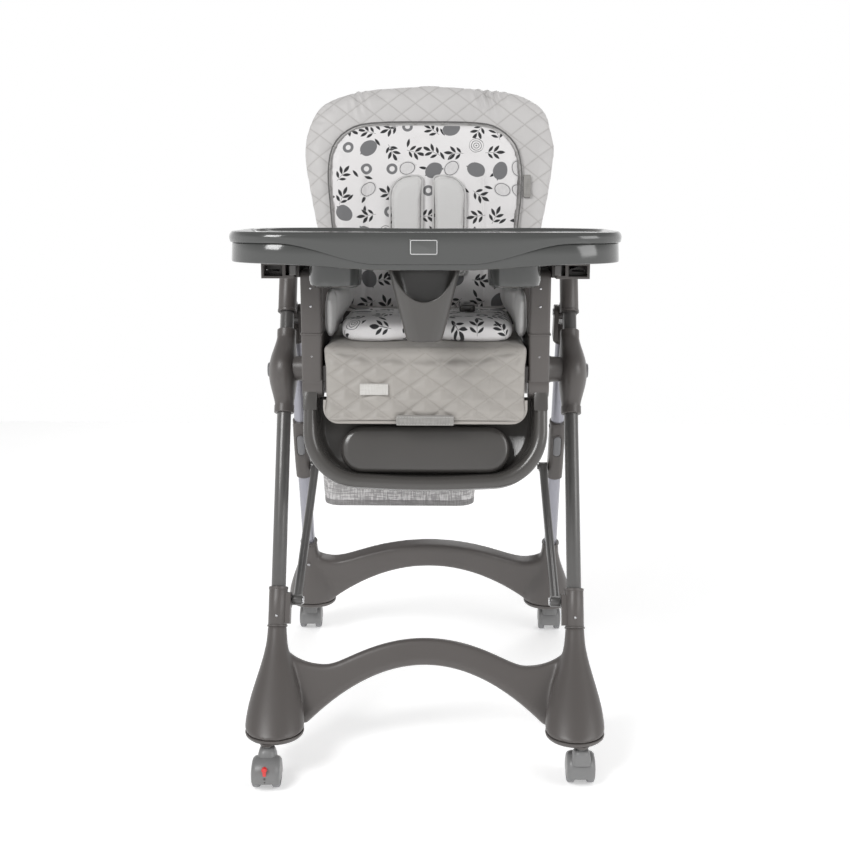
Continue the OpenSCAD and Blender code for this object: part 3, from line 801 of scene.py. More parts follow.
@dataclass(frozen=True)
class PrintedCotton(Weave):
    """Cotton printed all over with sprigs, round fruit and rings."""

    leaf: tuple = (0.02, 0.02, 0.022, 1.0)
    fruit: tuple = (0.16, 0.16, 0.165, 1.0)
    repeat: float = 0.038

    def cell(self, b: Bench, at: NodeSocket, shift: float, loose: float) -> tuple:
        """One scatter of motifs.

        Args:
            b: The material's bench.
            at: The cloth's map.
            shift: Moves this scatter apart from the others.
            loose: How unevenly it is spread.

        Returns:
            The two coordinates in a motif, in repeats, and its two chance numbers.
        """
        scale = 1 / self.repeat
        moved = b.node("Mapping", {"Vector": at, "Location": (shift, shift * 0.7, 0)}).outputs[0]
        spots = b.node("TexVoronoi", {"Vector": moved, "Scale": scale, "Randomness": loose},
                       voronoi_dimensions="2D")
        u, v, _ = b.split(moved)
        cu, cv, _ = b.split(spots.outputs["Position"])
        chance = b.node("SeparateColor", {0: spots.outputs["Color"]})
        return (u - cu) * scale, (v - cv) * scale, Wire(b, chance.outputs[0]), Wire(b, chance.outputs[1])

    @staticmethod
    def turned(b: Bench, x: Wire, y: Wire, angle: Wire | float) -> tuple[Wire, Wire]:
        """Coordinates after a turn."""
        c, s = b.math("COSINE", angle), b.math("SINE", angle)
        return x * c + y * s, y * c - x * s

    def blade(self, b: Bench, x: Wire, y: Wire, angle: Wire | float, start: float, length: float,
              half: float) -> Wire:
        """A pointed leaf.

        Args:
            b: The material's bench.
            x: Across the motif.
            y: Up the motif.
            angle: The way it points.
            start: Where it starts from the motif's middle.
            length: How long it is.
            half: Half its greatest width.

        Returns:
            1 inside and 0 outside.
        """
        p, q = self.turned(b, x, y, angle)
        t = (p - start) * (1 / length)
        width = t * (t * -1 + 1) * (4 * half)
        return ((width - q.abs()) * 60).clamp()

    def build(self) -> Material:
        """Makes the material."""
        b = Bench(self.name)
        at = b.place(self.uv)
        weave = self.threads_of(b, at)
        x, y, spin, kind = self.cell(b, at, 0.0, 0.4)
        angle = spin * 6.283
        sprig: Wire | None = None
        p, q = self.turned(b, x, y, angle)
        for along, turn, length, half in ((0.05, 0.0, 0.45, 0.086), (-0.04, 0.85, 0.42, 0.08),
                                          (-0.07, -0.8, 0.42, 0.08),
                                          (-0.28, 0.9, 0.38, 0.074), (-0.31, -0.85, 0.36, 0.07)):
            blade = self.blade(b, p - along, q, turn, 0.02, length, half)
            sprig = blade if sprig is None else sprig.either(blade)
        stem = ((q.abs() * -1 + 0.012) * 120).clamp() * ((p * -1 + 0.1).above(0)) * ((p + 0.4).above(0))
        sprig = sprig.either(stem)
        far = b.math("SQRT", x * x + y * y)
        squeeze = b.math("SQRT", p * p * 0.62 + q * q)
        wobble = b.noise(60, at, 1) * 0.05
        body = ((squeeze * -1 + 0.315 + wobble) * 60).clamp().either(self.blade(b, x, y, angle, 0.2, 0.3, 0.06))
        rim = ((((squeeze - 0.3 + wobble).abs() * -1) + 0.017) * 120).clamp()
        ring = ((((far - 0.21 + wobble).abs() * -1) + 0.075) * 60).clamp()
        swirl = ((b.math("SINE", far * 62 + spin * 9 + b.noise(90, at, 1) * 5) - 0.55) * 6).clamp()
        swirl = swirl * ((far * -1 + 0.34) * 60).clamp()
        is_sprig = (kind * -1 + 0.47).above(0)
        is_fruit = kind.above(0.47) * (kind * -1 + 0.68).above(0)
        is_ring = kind.above(0.68) * (kind * -1 + 0.8).above(0)
        is_rim = kind.above(0.8) * (kind * -1 + 0.92).above(0)
        is_swirl = kind.above(0.92)
        x2, y2, spin2, kind2 = self.cell(b, at, 0.613, 0.9)
        lone = self.blade(b, x2, y2, spin2 * 6.283, -0.2, 0.44, 0.075) * kind2.above(0.15)
        lone = lone * (sprig * is_sprig + body * (is_fruit + is_rim) + is_ring * (far * -1 + 0.3).above(0)
                       + is_swirl * (far * -1 + 0.36).above(0)).above(0.05)._do("MULTIPLY", -1) + lone
        dots = (b.noise(1500, at, 0) - 0.6).clamp() * 5 * (b.noise(28, at, 1) - 0.5).clamp() * 6
        veins = b.noise(600, at, 2, (1, 0.2, 1)) * 0.35
        cloth = b.blend(weave * 0.1 + b.noise(9, b.place(), 3) * 0.12, self.colour, tint(self.colour, 0.86))
        shade = b.blend((dots * 0.5).clamp(), cloth, self.fruit)
        shade = b.blend((body * is_fruit + ring * is_ring).clamp(), shade, self.fruit)
        shade = b.blend((body * is_rim * veins + (rim * is_rim).either(swirl * is_swirl)).clamp(), shade,
                        tint(self.fruit, 0.6))
        shade = b.blend((sprig * is_sprig).either(lone).clamp(), shade, self.leaf)
        return b.finish(Base_Color=shade, Roughness=self.rough, Sheen_Weight=0.2, Sheen_Roughness=0.4,
                        Normal=b.bump(weave, 0.0002, 0.4))


BASE = Moulded("base_plastic", linear(86, 82, 80), 0.36)
TRAY = Moulded("tray_gloss", linear(68, 69, 68), 0.16, coat=0.6, grain=0.12, marks=0.05)
FOOT = Moulded("footrest_plastic", linear(72, 70, 68), 0.25, coat=0.3, grain=0.2)
DARK = Moulded("dark_plastic", linear(72, 70, 68), 0.3, coat=0.2)
BUTTON = Moulded("button_grey", linear(118, 118, 120), 0.3)
CASTER = Moulded("caster_grey", linear(122, 122, 122), 0.35)
RED = Moulded("brake_red", linear(214, 52, 50), 0.3, coat=0.4)
PLATE = Moulded("badge_plate", linear(84, 85, 84), 0.2, coat=0.5)
PALE = Moulded("badge_rim", linear(205, 205, 205), 0.4)
FRONT_TUBE = Enamel("front_tube", linear(92, 91, 90), 0.3)
REAR_TUBE = Enamel("rear_tube", linear(156, 156, 164), 0.3, metal=0.55)
STEEL = Enamel("steel", linear(190, 190, 192), 0.25, metal=1.0)
WHEEL = Tread("caster_wheel", linear(128, 128, 130), 0.45)
# the last colour of each quilted cover is its thread's, which also paints the shade along its quilting lines
BACK = Leatherette("cover_light", linear(190, 188, 187), 0.5, 0.048, 0.038, linear(150, 147, 144))
FLAP = Leatherette("cover_quilt", linear(158, 154, 149), 0.42, 0.050, 0.034, linear(140, 136, 130))
PAD = Leatherette("pad_fabric", linear(200, 199, 198), 0.55)
PRINT = PrintedCotton("insert_print", linear(222, 220, 220), 0.8, threads=1500)
BASKET = Weave("basket_fabric", linear(142, 140, 140), 0.85, linear(202, 200, 200), 700, 0.9)
WEBBING = Weave("webbing", linear(134, 132, 129), 0.7, linear(156, 154, 151), 500, 0.5)
LABEL = Weave("label", linear(186, 184, 180), 0.7, linear(204, 202, 199), 2200, 0.4)


# ---- putting pieces on bodies


def ready(name: str, mesh: Mesh, finish: Finish, body: str, replaces: Sequence[str] = (), slot: str = "") -> Object:
    """Makes a finished piece of a mesh.

    Args:
        name: The piece's name.
        mesh: Its mesh, in metres.
        finish: What it is made of.
        body: The body it moves with, or nothing.
        replaces: The nodes it stands for.
        slot: Not used.

    Returns:
        The piece.
    """
    return adopt(stand_in(name, mesh), finish, body, replaces, slot)


def adopt(obj: Object, finish: Finish, body: str, replaces: Sequence[str] = (), slot: str = "") -> Object:
    """Dresses an object and puts it on its body, as ready does with a mesh."""
    obj.data.materials.clear()
    obj.data.materials.append(finish.material())
    if body:
        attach(obj, body)
    if replaces:
        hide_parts(*replaces)
    slot or finish.name
    log.info("%s: %d faces on %s", obj.name, len(obj.data.polygons), body or "two bodies")
    return obj


class Plan:
    """A geometry node tree being put together, with named inputs for its sizes."""

    def __init__(self, name: str, sizes: Sequence[str]) -> None:
        """Starts a tree that takes a mesh, its sizes and a finish."""
        self.tree = bpy.data.node_groups.new(name, "GeometryNodeTree")
        for key in ("Geometry", *sizes, "Finish"):
            kind = {"Geometry": "Geometry", "Finish": "Material"}.get(key, "Float")
            self.tree.interface.new_socket(key, in_out="INPUT", socket_type="NodeSocket" + kind)
        self.tree.interface.new_socket("Geometry", in_out="OUTPUT", socket_type="NodeSocketGeometry")
        self.given = self.add("NodeGroupInput").outputs

    def add(self, kind: str, **inputs: object) -> Node:
        """Adds a node and feeds its inputs, named with underscores."""
        made = self.tree.nodes.new(kind)
        for key, value in inputs.items():
            socket = made.inputs[key.replace("_", " ")]
            if isinstance(value, NodeSocket):
                self.tree.links.new(value, socket)
            else:
                socket.default_value = value
        return made

    def close(self, points: NodeSocket, shape: NodeSocket,
              turn: NodeSocket) -> NodeTree:
        """Sets a shape on each point, makes it real, dresses it and ends the tree."""
        set_on = self.add("GeometryNodeInstanceOnPoints", Points=points, Instance=shape, Rotation=turn)
        real = self.add("GeometryNodeRealizeInstances", Geometry=set_on.outputs[0])
        dressed = self.add("GeometryNodeSetMaterial", Geometry=real.outputs[0], Material=self.given["Finish"])
        self.tree.links.new(dressed.outputs[0], self.add("NodeGroupOutput").inputs[0])
        return self.tree


def grown(name: str, mesh: Mesh, tree: NodeTree, given: dict[str, object]) -> Object:
    """Runs a node tree on a mesh and keeps the plain result.

    Args:
        name: The piece's name.
        mesh: The points or paths that the tree starts from.
        tree: The tree.
        given: The values of its named inputs.

    Returns:
        The piece, with no modifier left.
    """
    obj = stand_in(name, mesh)
    nodes = obj.modifiers.new("nodes", "NODES")
    nodes.node_group = tree
    for item in tree.interface.items_tree:
        if item.in_out == "INPUT" and item.name in given:
            nodes[item.identifier] = given[item.name]
    return settle(obj)


@dataclass(frozen=True)
class Screws:
    """Cross-head screws, set by geometry nodes at the points of a mesh."""

    radius: float = 0.0032
    height: float = 0.0016

    def tree(self) -> NodeTree:
        """Builds the tree: a domed head with a cross cut is set at each point, the way that it faces."""
        plan = Plan("screws", ("Radius", "Height"))
        add, given = plan.add, plan.given
        head = add("GeometryNodeMeshUVSphere", Segments=20, Rings=8, Radius=1.0)
        flat = add("ShaderNodeCombineXYZ", X=given["Radius"], Y=given["Radius"], Z=given["Height"])
        dome = add("GeometryNodeTransform", Geometry=head.outputs["Mesh"], Scale=flat.outputs[0])
        cross = add("GeometryNodeMeshBoolean")
        cross.operation = "DIFFERENCE"
        plan.tree.links.new(dome.outputs[0], cross.inputs["Mesh 1"])
        for size in ((0.26, 1.3, 0.9), (1.3, 0.26, 0.9)):
            bar = add("GeometryNodeMeshCube", Size=size)
            lift = add("GeometryNodeTransform", Geometry=bar.outputs["Mesh"], Translation=(0, 0, 1.0))
            cut = add("GeometryNodeTransform", Geometry=lift.outputs[0], Scale=flat.outputs[0])
            plan.tree.links.new(cut.outputs[0], cross.inputs["Mesh 2"])
        way = add("GeometryNodeInputNamedAttribute")
        way.data_type = "FLOAT_VECTOR"
        way.inputs["Name"].default_value = "facing"
        turn = add("FunctionNodeAlignRotationToVector", Vector=way.outputs[0])
        turn.axis = "Z"
        return plan.close(given["Geometry"], cross.outputs["Mesh"], turn.outputs[0])

    def drive(self, name: str, places: Sequence[tuple[Vector, Vector]], finish: Finish, body: str) -> Object:
        """Sets screws in one body.

        Args:
            name: The piece's name.
            places: Each screw's place in metres and the way it faces.
            finish: What they are made of.
            body: The body they move with.

        Returns:
            The screws as one piece.
        """
        mesh = bpy.data.meshes.new(name)
        mesh.from_pydata([tuple(at) for at, _ in places], [], [])
        layer = mesh.attributes.new("facing", "FLOAT_VECTOR", "POINT")
        layer.data.foreach_set("vector", [c for _, facing in places for c in facing.normalized()])
        given = {"Radius": self.radius, "Height": self.height, "Finish": finish.material()}
        return adopt(grown(name, mesh, bpy.data.node_groups.get("screws") or self.tree(), given), finish, body)


def cloth_grain(obj: Object, place: Matrix) -> None:
    """Lays a map on a piece from its own frame, each face seen square on.

    Args:
        obj: The piece.
        place: The frame whose planes it is laid in.
    """
    mesh = obj.data
    co = local_points(obj, place)
    turn = np.array(place.to_3x3().normalized().inverted())
    layer = mesh.uv_layers.get("cloth") or mesh.uv_layers.new(name="cloth")
    corner = np.zeros(len(mesh.loops), np.int32)
    mesh.loops.foreach_get("vertex_index", corner)
    normals = np.zeros(len(mesh.polygons) * 3, np.float32)
    mesh.polygons.foreach_get("normal", normals)
    totals = np.zeros(len(mesh.polygons), np.int32)
    mesh.polygons.foreach_get("loop_total", totals)
    axis = np.abs(normals.reshape(-1, 3) @ turn.T).argmax(1)
    pick = np.array([[1, 2], [0, 2], [0, 1]])[np.repeat(axis, totals)]
    flat = np.take_along_axis(co[corner], pick, axis=1)
    layer.data.foreach_set("uv", (flat * MM).astype(np.float32).ravel())


def sewn(name: str, form: Form, place: Matrix, finish: Finish, body: str, slot: str) -> Object:
    """Makes a small cloth piece.

    Args:
        name: Its name.
        form: Its shape.
        place: The frame that it is shaped in and its map is laid in.
        finish: Its cloth.
        body: The body it moves with.
        slot: Not used.

    Returns:
        The piece.
    """
    piece = stand_in(name, form.mesh(place))
    cloth_grain(piece, place)
    return adopt(piece, finish, body, slot=slot)


def inflate(obj: Object, cap: float, pressure: float = 4.0) -> None:
    """Swells a pad as its filling does, by a cloth simulation that is applied to its mesh.

    Args:
        obj: The pad.
        cap: The most that a point may move, in metres.
        pressure: How hard the filling pushes.
    """
    scene = bpy.context.scene
    start = points_of(obj)
    cloth = obj.modifiers.new("filling", "CLOTH")
    cloth.settings.use_pressure = True
    cloth.settings.uniform_pressure_force = pressure
    cloth.settings.effector_weights.gravity = 0
    cloth.settings.quality = 4
    cloth.point_cache.frame_start, cloth.point_cache.frame_end = 1, 20
    for step in range(1, 21):
        scene.frame_set(step)
    settle(obj)
    scene.frame_set(1)
    moved = points_of(obj) - start
    size = np.linalg.norm(moved, axis=1, keepdims=True)
    set_points(obj, start + moved * np.minimum(1, cap / np.maximum(size, 1e-9)))


@dataclass(frozen=True)
class Quilting:
    """Sewn diamonds: two families of channels with puffed cloth between, in millimetres."""

    wide: float
    high: float
    depth: float
    sharp: float = 0.55

    def height(self, u: np.ndarray, v: np.ndarray) -> np.ndarray:
        """How far the cloth lies below its crowns.

        Args:
            u: Across the cloth.
            v: Up the cloth.

        Returns:
            The depth at each point.
        """
        slope = atan2(self.high, self.wide)
        pitch = self.wide * sin(slope)
        gap = np.full(len(u), pitch)
        for turn in (1, -1):
            across = u * (turn * sin(slope)) + v * cos(slope)
            gap = np.minimum(gap, np.abs((across + pitch / 2) % pitch - pitch / 2))
        return self.depth * (1 - np.power(np.clip(gap / (pitch / 2), 0, 1), self.sharp))


# ---- frame


@dataclass
class ArchedBase:
    """A moulded base bar: two flared feet joined by an arch, in millimetres up its legs."""

    name: str
    body: str
    place: Matrix
    floor: float
    crown: float
    valley: float
    soffit: float
    drop: float
    socket: float
    half: float
    foot_y: float
    stem_y: float
    valley_x: float = 190.0
    soffit_x: float = 194.0
    round_steps: int = 48
    thick: float = 34.0
    foot_x: float = 239.0
    foot_rx: float = 47.5
    foot_ry: float = 45.0
    foot_z: float = 66.0
    cap_h: float = 11.0

    def outline(self) -> list[Flat]:
        """The arch in the plane of its legs."""
        out, x0, n = [], self.valley_x, 24
        run, rise = self.half - 6 - x0, self.socket - 14 - self.valley
        flank = [(x0 + run * sin(radians(t)), self.valley + rise * (1 - cos(radians(t))))
                 for t in range(0, 91, 9)]
        top = [(x, self.crown - (self.crown - self.valley) * (1.25 * (x / x0) ** 2 - 0.25 * (x / x0) ** 10))
               for x in np.linspace(-x0, x0, 2 * n + 1)[1:-1]]
        x1 = self.soffit_x
        low = [(x, self.soffit - self.drop * (x / x1) ** 2) for x in np.linspace(x1, -x1, 2 * n + 1)]
        out += [(-x, z) for x, z in reversed(flank)] + top + flank
        return out + [(self.half, self.soffit - self.drop)] + low + [(-self.half, self.soffit - self.drop)]

    def foot(self, form: Form, s: int) -> None:
        """Adds one flared foot, from its round socket to its wide oval end.

        Args:
            form: The world-frame form it joins.
            s: The sign of X.
        """
        turns = np.linspace(0, 2 * pi, self.round_steps, endpoint=False)
        top = [self.place @ Vector((s * self.half + 16.2 * cos(t), 16.2 * sin(t), self.floor + self.socket))
               / MM for t in turns]
        low = [Vector((s * self.foot_x + self.foot_rx * cos(t), self.foot_y + self.foot_ry * sin(t),
                       self.foot_z + self.cap_h)) for t in turns]
        rings = []
        for k in range(15):
            t = k / 14
            wide = 0.9 * smooth_step(0.06, 0.97, t) + 0.1 * t
            middle_a, middle_b = sum(top, Vector()) / len(top), sum(low, Vector()) / len(low)
            middle = middle_a.lerp(middle_b, t)
            rings.append([middle + ((a - middle_a).lerp(b - middle_b, wide)) for a, b in zip(top, low)])
        waist = [low_p.lerp(sum(low, Vector()) / len(low), 0.035) - Vector((0, 0, 1.5)) for low_p in low]
        form.loft(rings + [waist])

    def cap(self, form: Form, s: int) -> None:
        """Adds the separate oval cap under a foot."""
        rings = []
        for t, dz in ((0.88, 9.6), (0.985, 9.4), (1.0, 8.0), (0.985, 5.0), (0.93, 2.4), (0.8, 0.7), (0.6, 0.0)):
            rings.append([(s * self.foot_x + t * (self.foot_rx - 0.6) * cos(a),
                           self.foot_y + t * (self.foot_ry - 0.6) * sin(a), self.foot_z + dz)
                          for a in np.linspace(0, 2 * pi, 56, endpoint=False)])
        form.loft(rings)
        form.lathe([(self.foot_z - 1.5, 10.5), (self.foot_z - 0.5, 11.5), (self.foot_z + 3, 12)],
                   (s * STANCE.front_half, self.stem_y, 0))

    def build(self) -> None:
        """Builds the bar and its caps."""
        form = Form()
        upright = Matrix.Rotation(radians(90), 4, "X")
        shift = Matrix.Translation((0, 0, self.floor))
        form.slab([self.outline()], self.thick, 8, Matrix.Scale(1 / MM, 4) @ self.place @ shift @ upright)
        for side in Side:
            self.foot(form, side.value)
        obj = stand_in(self.name + "_bar", form.mesh(STANCE.world))
        remesh(obj, 0.0027, 14, 0.6)
        obj.data.shade_smooth()
        adopt(obj, BASE, self.body, [self.name])
        caps = Form()
        for side in Side:
            self.cap(caps, side.value)
        ready(self.name + "_foot_caps", caps.mesh(STANCE.world), BASE, self.body)


@dataclass
class Frame:
    """The folding frame's built pieces: bases, raised bands, lock housings with their buttons, and screws."""

    def bands(self, name: str, body: str, place: Matrix, half: float,
              levels: Sequence[tuple[float, float, float]]) -> None:
        """Adds raised round bands on both legs.

        Args:
            name: The pieces' name.
            body: The body they ride on.
            place: The legs' frame.
            half: How far the legs stand from the middle.
            levels: Each band's lower end, upper end and radius.
        """
        form = Form()
        for side in Side:
            for low, high, r in levels:
                edge = 0.8
                form.lathe([(low, r - edge), (low + edge, r), (high - edge, r), (high, r - edge)],
                           (side.value * half, 0, 0), steps=56)
        ready(name, form.mesh(place), BASE, body)

    def housing(self, side: Side) -> None:
        """Adds the moulded shell of one folding lock, with its button well."""
        s, half = side.value, STANCE.rear_half
        form = Form()
        levels = [(-346, 13.2, 15.2), (-345, 14.0, 16.2), (-330, 14.2, 16.8), (-322, 14.3, 18.0), (-300, 14.3, 18.6),
                  (-262, 14.3, 18.6), (-242, 14.2, 18.2), (-236, 14.0, 16.4), (-226, 13.8, 15.6), (-225, 13.0, 14.8)]
        form.stack([(rounded(2 * w, 2 * d, 9, s * half, -1), z) for z, w, d in levels])
        for low, high, r in ((-349, -343, 14.9), (-240, -235, 15.6), (-230, -224, 14.9)):
            form.lathe([(low, r - 1), (low + 1, r), (high - 1, r), (high, r - 1)], (s * half, 0, 0))
        well = [[(x, y, z) for x, z in rounded(w, h, w / 2, s * half, -270)]
                for w, h, y in ((18.6, 48.6, -18.0), (18.2, 48.2, -20.6), (15.4, 45.4, -20.6), (15.0, 45.0, -18.0))]
        form.loft(well + [well[0]], caps=(False, False))
        ready(f"lock_housing_{side.word}", form.mesh(STANCE.rear_leg), BASE, f"lock_slider_{side.word}",
              [f"lock_slider_{side.word}"])
        knob = Form()
        knob.loft([[(x, y, z) for x, z in rounded(w, h, w / 2, s * half, -270)]
                   for w, h, y in ((14, 42.8, -16.0), (14, 42.8, -20.0), (13, 41.8, -21.2), (10, 38.8, -21.8),
                                   (3, 31, -22.0))])
        ready(f"fold_button_cap_{side.word}", knob.mesh(STANCE.rear_leg), BUTTON, f"fold_button_{side.word}",
              [f"fold_button_{side.word}"])

    def build(self) -> None:
        """Builds the frame's pieces."""
        ArchedBase("front_base", "front_frame", STANCE.front_leg, 0, 206, 162, 162, 95, 225, STANCE.front_half,
                   -282, -312, 165.0).build()
        ArchedBase("rear_base", "rear_frame", STANCE.rear_leg, -STANCE.rear_down, 222, 181, 171, 84, 222,
                   STANCE.rear_half, 296, 314).build()
        self.bands("socket_bands", "front_frame", STANCE.front_leg, STANCE.front_half,
                   [(222.5, 226, 16.9), (284, 289, 16.2), (768, 773, 16.8), (842, 845, 16.4)])
        self.bands("rear_socket_bands", "rear_frame", STANCE.rear_leg, STANCE.rear_half,
                   [(-509.4, -506, 16.9), (-58.5, -54.5, 15.8), (-30, -26, 15.6)])
        for side in Side:
            self.housing(side)
        screws = Screws()
        facing = STANCE.rear_leg.to_3x3() @ Vector((0, -1, 0))
        screws.drive("rear_socket_screws",
                     [(STANCE.rear_leg @ Vector((s * 240, -25.6, -548)), facing) for s in (-1, 1)],
                     STEEL, "rear_frame")
        facing = STANCE.front_leg.to_3x3() @ Vector((0, -1, 0))
        Screws(0.0021, 0.001).drive("collar_screws", [(STANCE.front_leg @ Vector((s * 247, -15.4, 240)), facing)
                                                      for s in (-1, 1)], STEEL, "front_frame")


@dataclass
class Carriages:
    """The boat-shaped housings that slide on the front legs and carry the seat."""

    low: float = 587.0
    high: float = 736.0
    hub: float = 664.0

    def shell(self, s: int) -> Form:
        """One housing: a round sleeve that swells to a boat shape, and leaves the folded rear leg room."""
        form, rings = Form(), []
        for k in range(41):
            t = k / 40
            z = self.low + 12 + (self.high - self.low - 24) * t
            swell = sin(pi * min(1, max(0, (t - 0.02) / 0.96))) ** 1.35
            swell *= 1 + 0.12 * (0.5 - t)
            out, deep, into = 16.2 + 11.8 * swell, 17 + 27 * swell, 16.2 + 5 * swell
            ring = []
            for i in range(64):
                a = 2 * pi * i / 64
                c, q = cos(a), sin(a)
                x = (out if c > 0 else into) * copysign(abs(c) ** 0.85, c)
                reach = min(deep, max(15.6, 2.5 + 0.16 * (778 - z))) if q > 0 else deep
                ring.append((s * (STANCE.front_half + x), reach * copysign(abs(q) ** 0.95, q), z))
            rings.append(ring)
        form.loft(rings)
        for low, high, r in ((self.low, self.low + 14, 17.2), (self.low + 15, self.low + 17, 16.4),
                             (self.high - 13, self.high, 16.4)):
            form.lathe([(low, r - 0.9), (low + 0.9, r), (high - 0.9, r), (high, r - 0.9)],
                       (s * STANCE.front_half, 0, 0), steps=56)
        x0, x1 = s * (STANCE.seat_half + 0.3), s * (STANCE.front_half - 13)
        form.lathe([(x0, 31), (x0 + s * 3, 30.6), (x0 + s * 12, 26), (x0 + s * 20, 22), (x1, 21)],
                   (0, -10, self.hub), "X", 56)
        return form

    def dish(self, s: int) -> Form:
        """The lighter round cheek between the housing and the side frame."""
        x0 = s * (STANCE.seat_half - 3)
        form = Form()
        form.lathe([(x0, 41), (x0 + s * 4, 41), (x0 + s * 6.5, 40), (x0 + s * 9, 37), (x0 + s * 10.5, 30),
                    (x0 + s * 11, 4)],
                   (0, -5, self.hub - 2), "X", 64)
        return form

    def build(self) -> None:
        """Builds both housings and their cheeks."""
        for side, form in both(self.shell):
            ready(f"carriage_shell_{side.word}", form.mesh(STANCE.front_leg), BASE, "seat", [f"carriage_{side.word}"])
        for side, form in both(self.dish):
            ready(f"carriage_cheek_{side.word}", form.mesh(STANCE.front_leg), CHEEK, "seat", slot="base_plastic")
        for side in Side:
            s = side.value
            cap = Form().lathe([(s * 270, 12.6), (s * 275.6, 12.6), (s * 277, 11.4), (s * 276.4, 7), (s * 275.8, 1)],
                               (0, 0, self.hub), "X", 48)
            ready(f"height_button_cap_{side.word}", cap.mesh(STANCE.front_leg), BUTTON, f"height_button_{side.word}",
                  [f"height_button_{side.word}"])


CHEEK = Moulded("cheek_plastic", linear(98, 96, 95), 0.3, coat=0.2)


# ---- seat, footrest and tray


@dataclass
class SideFrames:
    """The two moulded side frames of the seat, in Y and Z."""

    post_y: float = -198.0
    arm_z: float = 798.0
    under: float = 622.0

    def outline(self) -> list[Flat]:
        """The outline of a side frame, counterclockwise from its front foot."""
        y0, z1, z0 = self.post_y, self.arm_z, self.under
        out = arc(-183, 615, 15, 180, 300, 8) + [(-160, z0 - 3), (-60, z0 - 1), (-26, z0 - 4)]
        out += arc(20.6, 601.8, 40, 205, 335, 14) + [(66, 636)]
        out += arc(62, 665, 24, -60, 80, 10) + [(48, 702), (42, 716), (40, 740)]
        out += arc(28, z1 - 12, 12, 0, 90, 6) + arc(y0 + 12, z1 - 12, 12, 90, 180, 6)
        return out + [(y0, 700), (y0 - 2, 640)]

    def window(self) -> list[Flat]:
        """The opening under the armrest."""
        return rounded(152, 70, 14, -88, 732)[::-1]

    def frame(self, s: int) -> Form:
        """One side frame with its raised bands."""
        side = Matrix(((0, 0, 1, s * 176.5), (1, 0, 0, 0), (0, 1, 0, 0), (0, 0, 0, 1)))
        form = Form().slab([self.outline(), self.window()], 32, 5, side)
        band = ((34, 36, 697), (35.2, 37.2, 697.8), (35.2, 37.2, 699.2), (34, 36, 700))
        form.stack([(rounded(w, d, 5, s * 176.5, self.post_y + 17), z) for w, d, z in band])
        form.lathe([(s * 160.2, 17), (s * 161, 18.6), (s * 191, 18.6), (s * 192.4, 17), (s * 192.8, 1)],
                   (0, -183, 615), "X")
        return form

    def build(self) -> None:
        """Builds both side frames and their screws."""
        for side, form in both(self.frame):
            ready(f"side_frame_shell_{side.word}", form.mesh(STANCE.world), BASE, "seat", [f"side_frame_{side.word}"])
        spots = [(Vector((s * 176.5, self.post_y - 0.6, z)) * MM, Vector((0, -1, 0))) for s in (-1, 1)
                 for z in (664, 742, 770)]
        Screws(0.0019, 0.0009).drive("post_screws", spots, STEEL, "seat")


@dataclass
class Footrest:
    """The footrest: a deep dish with a broad round rim, and a raised foot plate."""

    half: float = 191.0
    low: float = -161.0
    corner: float = 88.0
    back: float = 38.0

    def run(self, inset: float, top: float = -14.0) -> list[Flat]:
        """The dish's open outline, from the left arm down, across and up the right arm."""
        half, low = self.half - inset, self.low + inset
        r = max(self.corner - inset * 0.75, 20)
        left = [(-half, z) for z in np.linspace(top, low + r, 7)[:-1]] + arc(-half + r, low + r, r, 180, 270, 16)
        sag = [(x, low - 3.5 * cos(pi * x / (2 * (half - r)))) for x in np.linspace(-half + r, half - r, 13)[1:-1]]
        return left + sag + [(-x, z) for x, z in reversed(left)]

    def dish(self) -> Mesh:
        """The dish and its arms."""
        section = [(0.6, self.back), (0, self.back - 2), (0, 4), (0.3, -6), (1.8, -10.5), (5, -13.4), (9.5, -14.4),
                   (14.5, -13.6), (18.2, -11), (20.6, -7), (22, -1), (24.5, 20), (27, 29), (32, 33)]
        form = Form()
        form.loft([[(x, y, z) for x, z in self.run(i)] for i, y in section], closed=False)
        inner, outer = self.run(32), self.run(0.6)
        floor = [form.bm.verts.new((x, 33, z)) for x, z in inner]
        behind = [form.bm.verts.new((x, self.back, z)) for x, z in outer]
        form.bm.faces.new(floor)
        form.bm.faces.new(behind[::-1])
        start = [form.bm.verts.new((self.run(i)[0][0], y, self.run(i)[0][1])) for i, y in section]
        form.bm.faces.new(start)
        form.bm.faces.new([form.bm.verts.new((-v.co.x, v.co.y, v.co.z)) for v in start][::-1])
        form.bm.faces.new([form.bm.verts.new(p) for p in ((-159, 33, -14), (159, 33, -14), (190.4, 38, -14),
                                                          (-190.4, 38, -14))])
        for s in (-1, 1):
            arm = arc(0, 0, 14.4, 0, 180, 12) + [(-14.4, -40), (14.4, -40)]
            rings = [[(s * x, y * k, z * k) for y, z in arm] for x,
                     k in ((169.2, 0.94), (170.2, 1), (189.8, 1), (191, 0.93))]
            form.loft(rings)
        return form.mesh(STANCE.footrest, smooth=50)

    def plate(self) -> Form:
        """The raised oval plate under the child's feet."""
        form = Form()
        levels = [(270, 78, 33.2), (267, 75, 20), (264, 73, 12), (260, 70, 8.4), (254, 66, 6.6), (240, 54, 5.8),
                  (150, 10, 5.2)]
        form.loft([[(x, y, z) for x, z in rounded(w, h, min(w, h) / 2 - 2, 0, -99, 12)] for w, h, y in levels])
        return form

    def build(self) -> None:
        """Builds the dish and the plate."""
        ready("footrest_bucket", self.dish(), FOOT, "footrest", ["footrest_dish"])
        ready("foot_plate_oval", self.plate().mesh(STANCE.footrest), FOOT, "footrest", ["foot_plate"])


